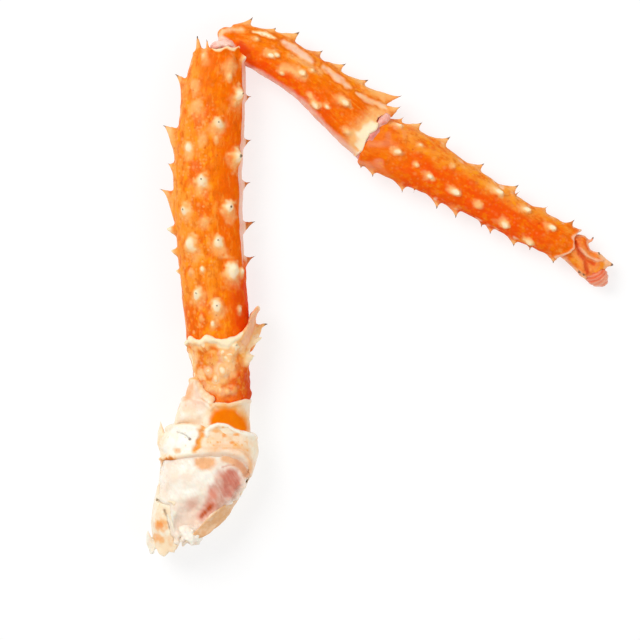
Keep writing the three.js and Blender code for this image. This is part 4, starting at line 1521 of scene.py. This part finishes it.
def build_ring():
    skin, domes = shape_ring()
    t, angle = settle_orange(skin)
    masks = skin.masks
    rim = -above_line(skin.x, skin.y, ISCHIUM_RIM)
    wavy, fine = skin.noise(3, 88), skin.noise(1.3, 90)
    skin.tint(cream=0.95 * ease(rim + 0.9 * wavy + 0.5 * fine, 4.4, 1.0))
    skin.tint(deep=0.9 * ease(angle + 12 * wavy, 82, 52) * ease(t + 0.05 * wavy, 0.56, 0.36))
    skin.tint(deep=0.8 * ease(angle + 8 * wavy, 104, 80) * ease(t + 0.04 * wavy, 0.34, 0.2))
    skin.tint(deep=0.85 * ease(t, 0.26, 0.1) * ease(angle, 134, 112))
    skin.tint(deep=0.95 * skin.within(RING_DEEP, 1.2, -1.0, 0.7 * wavy) * ease(skin.z, 8, 12))
    mild = 1 - 0.9 * masks["deep"]
    masks["cream"] *= 1 - 0.6 * masks["deep"]
    masks["halo"] *= 0.4 * mild
    pale = ease(skin.noise(4.5, 89) + 0.5 * wavy, 0.0, 0.5) * ease(t, 0.2, 0.45)
    skin.tint(light=mild * ease(wavy + 0.3 * fine, -0.8, 0.0), plain=0.5)
    # painted highlights make the domes' crowns paler, and painted shade makes the troughs between them deeper
    # orange
    skin.tint(halo=0.6 * pale * mild * ease(domes, -0.1, 0.3))
    skin.tint(cream=0.8 * ease(domes + 0.2 * fine, 0.25, 0.5) * ease(wavy, -0.1, 0.3) * mild)
    skin.tint(rich=0.9 * ease(domes + 0.12 * fine, 0.12, -0.12))
    skin.tint(deep=0.3 * ease(domes + 0.1 * fine, -0.05, -0.25))
    skin.tint(halo=0.4 * skin.near(RING_RIDGE, 1.8, 0.6, 0.5 * wavy) * ease(skin.z, 12, 15))
    # painted highlights, pale and cream, on the brightest lumps
    for x, y, radius in RING_GLINTS:
        gap = np.hypot(skin.x - x, skin.y - y) / radius + 0.4 * fine + 0.3 * wavy
        high = 0.9 * ease(skin.z, 14, 17)
        skin.tint(gleam=ease(gap, 2.2, 0.5) * high, cream=ease(gap, 1.5, 0.0) * high)
    skin.tint(red=0.6 * ease(angle, 48, 28) * ease(t, 0.55, 0.3))
    side = ease(angle + 10 * fine, 140, 158) * band(t, 0.1, 0.6, 0.1) * ease(wavy, -0.3, 0.3)
    skin.tint(cream=0.85 * side)
    tint_teeth(skin, wavy, fine)
    skin.make("ring", "ischium", "orange_shell", "amber_shell")


def shape_short_ring():
    _, block, run, _, body = lay_out("basis", 0.34, 6.0)
    x, y, z = block.at
    room = np.maximum(inside_of(block, "ischium", -0.6), body + 1.0)
    past_rim = single(above_line(x, y, BASIS_RIM))
    field = join(keep(body, past_rim, 0.6), np.hypot(body + 0.1, past_rim + 0.6) - 0.7, 0.7)
    field = cut(field, np.maximum(room, single(-42 - y)), 0.3)
    lobe = pillow(outline_gap(x, y, LOBE_OUTLINE), np.maximum(np.abs(z - 12.5) - 4.2, 0), 3.6)
    field = join(field, lobe, 0.8)
    for middle in LOBE_BEADS:
        field = join(field, egg(block.at, middle, BEAD_RADII, -50), 0.5)
    skin = Skin(block, from_start(field, run, 1.0))
    skin.roughen([(4, 0.3), (1.6, 0.12)], 101)
    return skin


def build_short_ring():
    skin = shape_short_ring()
    skin.settle(PALE_MASKS)
    wavy, fine = skin.noise(3, 108), skin.noise(1.3, 109)
    top = ease(skin.z, 9, 12)
    patch_gap = outline_gap(skin.x, skin.y, BASIS_PATCH) + 0.5 * wavy
    bare = ease(above_line(skin.x, skin.y, SCALLOP), -0.3, 0.5) * top
    skin.tint(orange=ease(patch_gap, 1.1, -0.9) * bare)
    skin.tint(amber=0.85 * ease(patch_gap, 3.2, 0.4) * ease(skin.x, -57.5, -55.5) * bare)
    on_lobe_top = skin.near(LOBE_TOP, 2.6, 1.2, 0.5 * wavy + 0.4 * fine) * top
    skin.tint(amber=on_lobe_top * (0.35 + 0.65 * ease(wavy, -0.2, 0.5)))
    inside_lobe = skin.within(LOBE_OUTLINE, 0, -2)
    blush = skin.within(LOBE_PINK, 0.8, -0.8, 0.5 * wavy)
    skin.tint(pink=0.7 * inside_lobe * ease(wavy, -0.3, 0.4) * ease(skin.y, -42, -38))
    skin.tint(pink=blush, amber=0.35 * blush)
    skin.tint(tan=0.6 * inside_lobe * ease(skin.y + 1.5 * wavy, -40.5, -43.5))
    skin.tint(tan=0.35 * ease(skin.noise(5, 110), 0.2, 0.6))
    skin.tint(white=0.8 * inside_lobe * ease(skin.noise(4, 111), -0.2, 0.4) * (1 - skin.masks["pink"]))
    skin.tint(amber=0.5 * ease(skin.z, 7, 4) * ease(skin.noise(6, 112), -0.1, 0.4))
    skin.make("short_ring", "basis", "pale_shell")


def on_top(limb, line, lift):
    """Points over a line in the plane, on the upper skin of a limb and lift above it."""
    x, y = np.array(line, float).T
    run, aside = limb.plan(x, y)
    u = np.minimum(np.abs(aside / np.interp(run, limb.run, limb.width)), 0.97)
    rise = np.interp(run, limb.run, limb.depth) * (1 - u**SECTION_POWER) ** (1 / SECTION_POWER)
    return np.stack([x, y, np.interp(run, limb.run, limb.points[:, 2]) + rise + lift], 1)


def shoulder_relief(x, y):
    """How far the shoulder's shell stands out at its plate, cracks and bands."""
    relief = 0.6 * ease(outline_gap(x, y, PLATE), 0.6, -0.8)
    relief = relief - 0.5 * ease(line_gap(x, y, ORANGE_CRACK), 0.9, 0.2)
    relief = relief - 0.4 * ease(line_gap(x, y, PLATE_LINE), 0.4, 0.1)
    relief = relief + 0.5 * ease(line_gap(x, y, SCALLOP), 1.0, 0.3)
    for line in CRACKS:
        relief = relief - 0.9 * ease(line_gap(x, y, line), 0.8, 0.1)
    return relief - 0.35 * ease(line_gap(x, y, SHELL_BAND), 1.7, 0.9)


def shape_shoulder():
    limb, block, _, _, body = lay_out("coxa", 0.36, 4.0)
    x, y, z = block.at
    outer = body - single(shoulder_relief(x, y) * ease(z, 9, 13))
    field = cut(outer, np.maximum(body + SHELL_WALL, single(y + 52)), 0.3)
    field = cut(field, np.maximum(single(outline_gap(x, y, WINDOW)), 11 - z), 0.6)
    past_front = single(above_line(x, y, COXA_FRONT))
    field = keep(field, past_front, 0.6)
    field = keep(field, -single(above_line(x, y, NEAR_END)), 0.3)
    lip = np.hypot(body + 0.1, past_front + 0.6) - 0.75
    field = join(field, np.maximum(lip, 8 - z), 0.7)
    field = cut(field, np.maximum(inside_of(block, "basis", -0.5), single(-47 - y)), 0.3)
    field = join(field, rope(block.at, on_top(limb, ARCH, 0.1), ARCH_RADII), 0.8)
    spur = pillow(outline_gap(x, y, SPUR), z - 9 - 0.25 * (x + 73), 1.2)
    flap = pillow(outline_gap(x, y, FLAP), z - 11 - 0.3 * (y + 84), 0.55)
    skin = Skin(block, join(join(field, spur, 0.3), flap, 0.3))
    skin.roughen([(4, 0.3), (1.5, 0.14)], 121)
    return skin


def tint_cracks(skin, wavy, fine, high):
    """Colours the cracks of the shoulder's shell, with painted shade in them, and the small stains round
    them.
    """
    crack = line_gap(skin.x, skin.y, ORANGE_CRACK) + 0.35 * wavy + 0.25 * fine
    skin.tint(orange=0.35 * ease(crack, 0.6, 0.0) * high, amber=ease(crack, 1.6, 0.3) * high)
    for middle, radii, strength in AMBER_STAINS:
        uneven = 0.35 * wavy + 0.3 * fine
        skin.tint(
            amber=strength * skin.spot(middle, radii, 1.25, 0.45, uneven) * high,
            orange=max(strength - 0.6, 0) * 2 * skin.spot(middle, radii, 0.8, 0.2, uneven) * high,
            stain=max(strength - 0.9, 0) * 5 * skin.spot(middle, radii, 0.9, 0.4, uneven) * high,
        )
    # painted shade along the cracks
    for line in CRACKS:
        skin.tint(dark=0.5 * skin.near(line, 0.6, 0.15, 0.25 * fine) * high)
    skin.tint(dark=0.45 * skin.near(PLATE_LINE, 0.4, 0.1, 0.15 * fine) * high)
    skin.tint(dark=0.9 * skin.spot(PLATE_LINE[-1], (1, 1), 0.6, 0.3) * high)


def build_shoulder():
    skin = shape_shoulder()
    skin.settle(PALE_MASKS)
    wavy, fine = skin.noise(2.5, 128), skin.noise(1.1, 129)
    high = ease(skin.z, 9, 12)
    skin.tint(white=skin.within(PLATE, 0.5, -1) * high)
    skin.tint(white=0.8 * skin.within(FLAP, 0.6, 0.0))
    tint_cracks(skin, wavy, fine, high)
    in_field = skin.within(CREAM_FIELD, 0.8, -1.2, 0.5 * wavy) * high
    blotches = ease(skin.noise(2.2, 131) + 0.5 * fine, -0.1, 0.5)
    skin.tint(amber=(0.3 + 0.35 * blotches) * in_field, white=0.3 * (1 - blotches) * in_field)
    dots = ease(skin.noise(1.0, 130), 0.4, 0.7) * high
    skin.tint(amber=dots * skin.within(CREAM_FIELD, 0.2, -1.0, 0.5 * wavy))
    skin.tint(white=0.7 * skin.near(SCALLOP, 1.1, 0.5) * high)
    skin.tint(tan=skin.near(SHELL_BAND, 2.8, 1.7, 0.25 * wavy) * ease(skin.z + 1.5 * wavy, 3, 10))
    skin.tint(pink=0.35 * skin.near(ARCH, 3.0, 1.2) * ease(skin.x, -66, -56) * high)
    over_arch = [(x, y + 1.7) for x, y in ARCH if x > -57]
    under_arch = [(x, y - 1.3) for x, y in ARCH]
    skin.tint(amber=0.5 * skin.near(over_arch, 1.1, 0.2, 0.2 * wavy) * high)
    skin.tint(pink=0.5 * skin.near(under_arch, 1.0, 0.3, 0.2 * wavy) * high)
    skin.make("shoulder", "coxa_shell", "pale_shell")


def shape_shoulder_flesh():
    _, block, _, _, body = lay_out("coxa", 0.36, 2.0)
    x, y, z = block.at
    in_window = ease(outline_gap(x, y, WINDOW), 2.2, 0.5) * ease(z, 8, 10)
    core = single(body + SHELL_WALL - 0.3 - (SHELL_WALL - 0.5) * in_window)
    field = keep(core, single(y + 51), 1.0)
    field = keep(field, -single(above_line(x, y, NEAR_END)) + 1.6, 1.5)
    scoop = egg(block.at, (-61.5, -77, 24), (6.5, 7.5, 6.5))
    hollow = egg(block.at, (-66.6, -78.6, 21.0), (1.6, 3.2, 3.6), 20)
    lobe = egg(block.at, (-63, -63.5, 14.5), (9.5, 9, 7.2))
    strand = egg(block.at, (-49.2, -64.4, 14.6), (4.4, 6.8, 5.2), -30)
    field = cut(cut(field, scoop, 3.0), hollow, 1.5)
    skin = Skin(block, join(join(field, lobe, 1.5), strand, 1.0))
    at_end = ease(-above_line(*skin.points[:, :2].T, NEAR_END), -8, -3)
    skin.roughen([(4, 0.4), (1.6, 0.22), (0.8, 0.1), (1.3, at_end)], 141)
    return skin


def build_shoulder_flesh():
    skin = shape_shoulder_flesh()
    skin.settle(MEAT_MASKS)
    c, s = math.cos(STRAND_TURN), math.sin(STRAND_TURN)
    side = skin.x * c + skin.y * s
    skin.masks["leg"] = np.stack([side, skin.y * c - skin.x * s, skin.z], 1)
    wavy, fine = skin.noise(2.5, 148), skin.noise(1.0, 149)
    fibres = lumps(np.stack([side, np.zeros(len(side)), skin.z * 0.3], 1), 0.7, 150) + 0.3 * fine
    at_edge = skin.near(MEAT_EDGE, 2.0, 0.6, 0.4 * wavy)
    skin.tint(clear=0.7 * skin.within(MEAT_CLEAR, 1.5, -1.5, wavy))
    skin.tint(tan=0.95 * skin.within(MEAT_TAN, 0.6, -1.2, 0.3 * wavy + 0.2 * fine))
    skin.tint(tan=0.9 * at_edge, pink=0.45 * at_edge * ease(skin.x, -50, -47))
    purple = skin.within(MEAT_PURPLE, 0.9, -0.9, 0.6 * wavy)
    skin.tint(purple=purple * (0.68 + 0.14 * ease(fibres, -0.6, 0.6)))
    skin.tint(pink=0.75 * skin.within(MEAT_PINK, 1.6, -1.4, 0.5 * wavy))
    mauve = skin.within(MEAT_MAUVE, 1.6, -1.2, 0.5 * wavy)
    skin.tint(pink=mauve * (0.58 + 0.14 * ease(fibres, -0.5, 0.6)))
    streak = line_gap(skin.x, skin.y, MEAT_BROWN) + 0.1 * wavy + 0.15 * fine
    skin.tint(brown=0.95 * ease(streak, 1.4, 0.2))
    skin.tint(brown=0.45 * skin.near(MEAT_LINE, 0.45, 0.1, 0.1 * fine))
    skin.tint(coral=0.22 * skin.spot((-62.2, -72.3), (2.4, 2.6), 1.2, 0.2, 0.4 * wavy))
    skin.tint(coral=0.35 * ease(streak, 2.6, 1.0) * (1 - skin.masks["brown"]))
    skin.tint(coral=0.3 * skin.spot((-55.4, -68.2), (1.6, 2.2), 1.3, 0.3, 0.3 * wavy))
    # painted shade in the hollow near the meat's end
    skin.tint(grey=0.25 * skin.spot((-66.6, -78.3), (2.2, 3.6), 1.1, 0.6, 0.2 * wavy))
    skin.make("shoulder_flesh", "shoulder_meat", "meat")


TUFT_THREADS = 26


def build_loose_flesh():
    middle = np.array([-63.2, -81.6, 16.2])
    block = Block([-71, -91, 0], [-55, -75, 20], 0.26)
    field = egg(block.at, middle, (4.6, 3.2, 3.2), -20)
    chance = np.random.default_rng(5)
    for _ in range(TUFT_THREADS):
        way = chance.uniform(-1, 1, 3) + (0.1, -0.5, 0.7)
        way = way / np.linalg.norm(way)
        root = middle + way * (2.4, 1.8, 2.0)
        bend = root + way * 1.3 + chance.uniform(-0.5, 0.5, 3)
        end = bend + way * 0.9 + chance.uniform(-0.4, 0.4, 3)
        field = join(field, rope(block.at, [root, bend, end], [1.2, 0.8, 0.3]), 0.7)
    skin = Skin(block, field)
    skin.roughen([(1.5, 0.3), (0.8, 0.15)], 161)
    skin.settle(MEAT_MASKS)
    skin.masks["leg"] = skin.points
    skin.make("loose_flesh", "loose_meat", "meat")


# ---- The scene ----

make_camera()
light_the_scene()
make_floor()
materials = all_materials()
build_thigh()
build_outer_knee()
build_outer_leg()
build_toe()
build_toe_flesh()
build_fold("knee_fold", "knee_skin", KNEE_EGGS, 181, 0.25)
build_fold("wrist_fold", "wrist_skin", WRIST_EGGS, 191, 0.75)
build_ring()
build_short_ring()
build_shoulder()
build_shoulder_flesh()
build_loose_flesh()

bpy.context.view_layer.update()
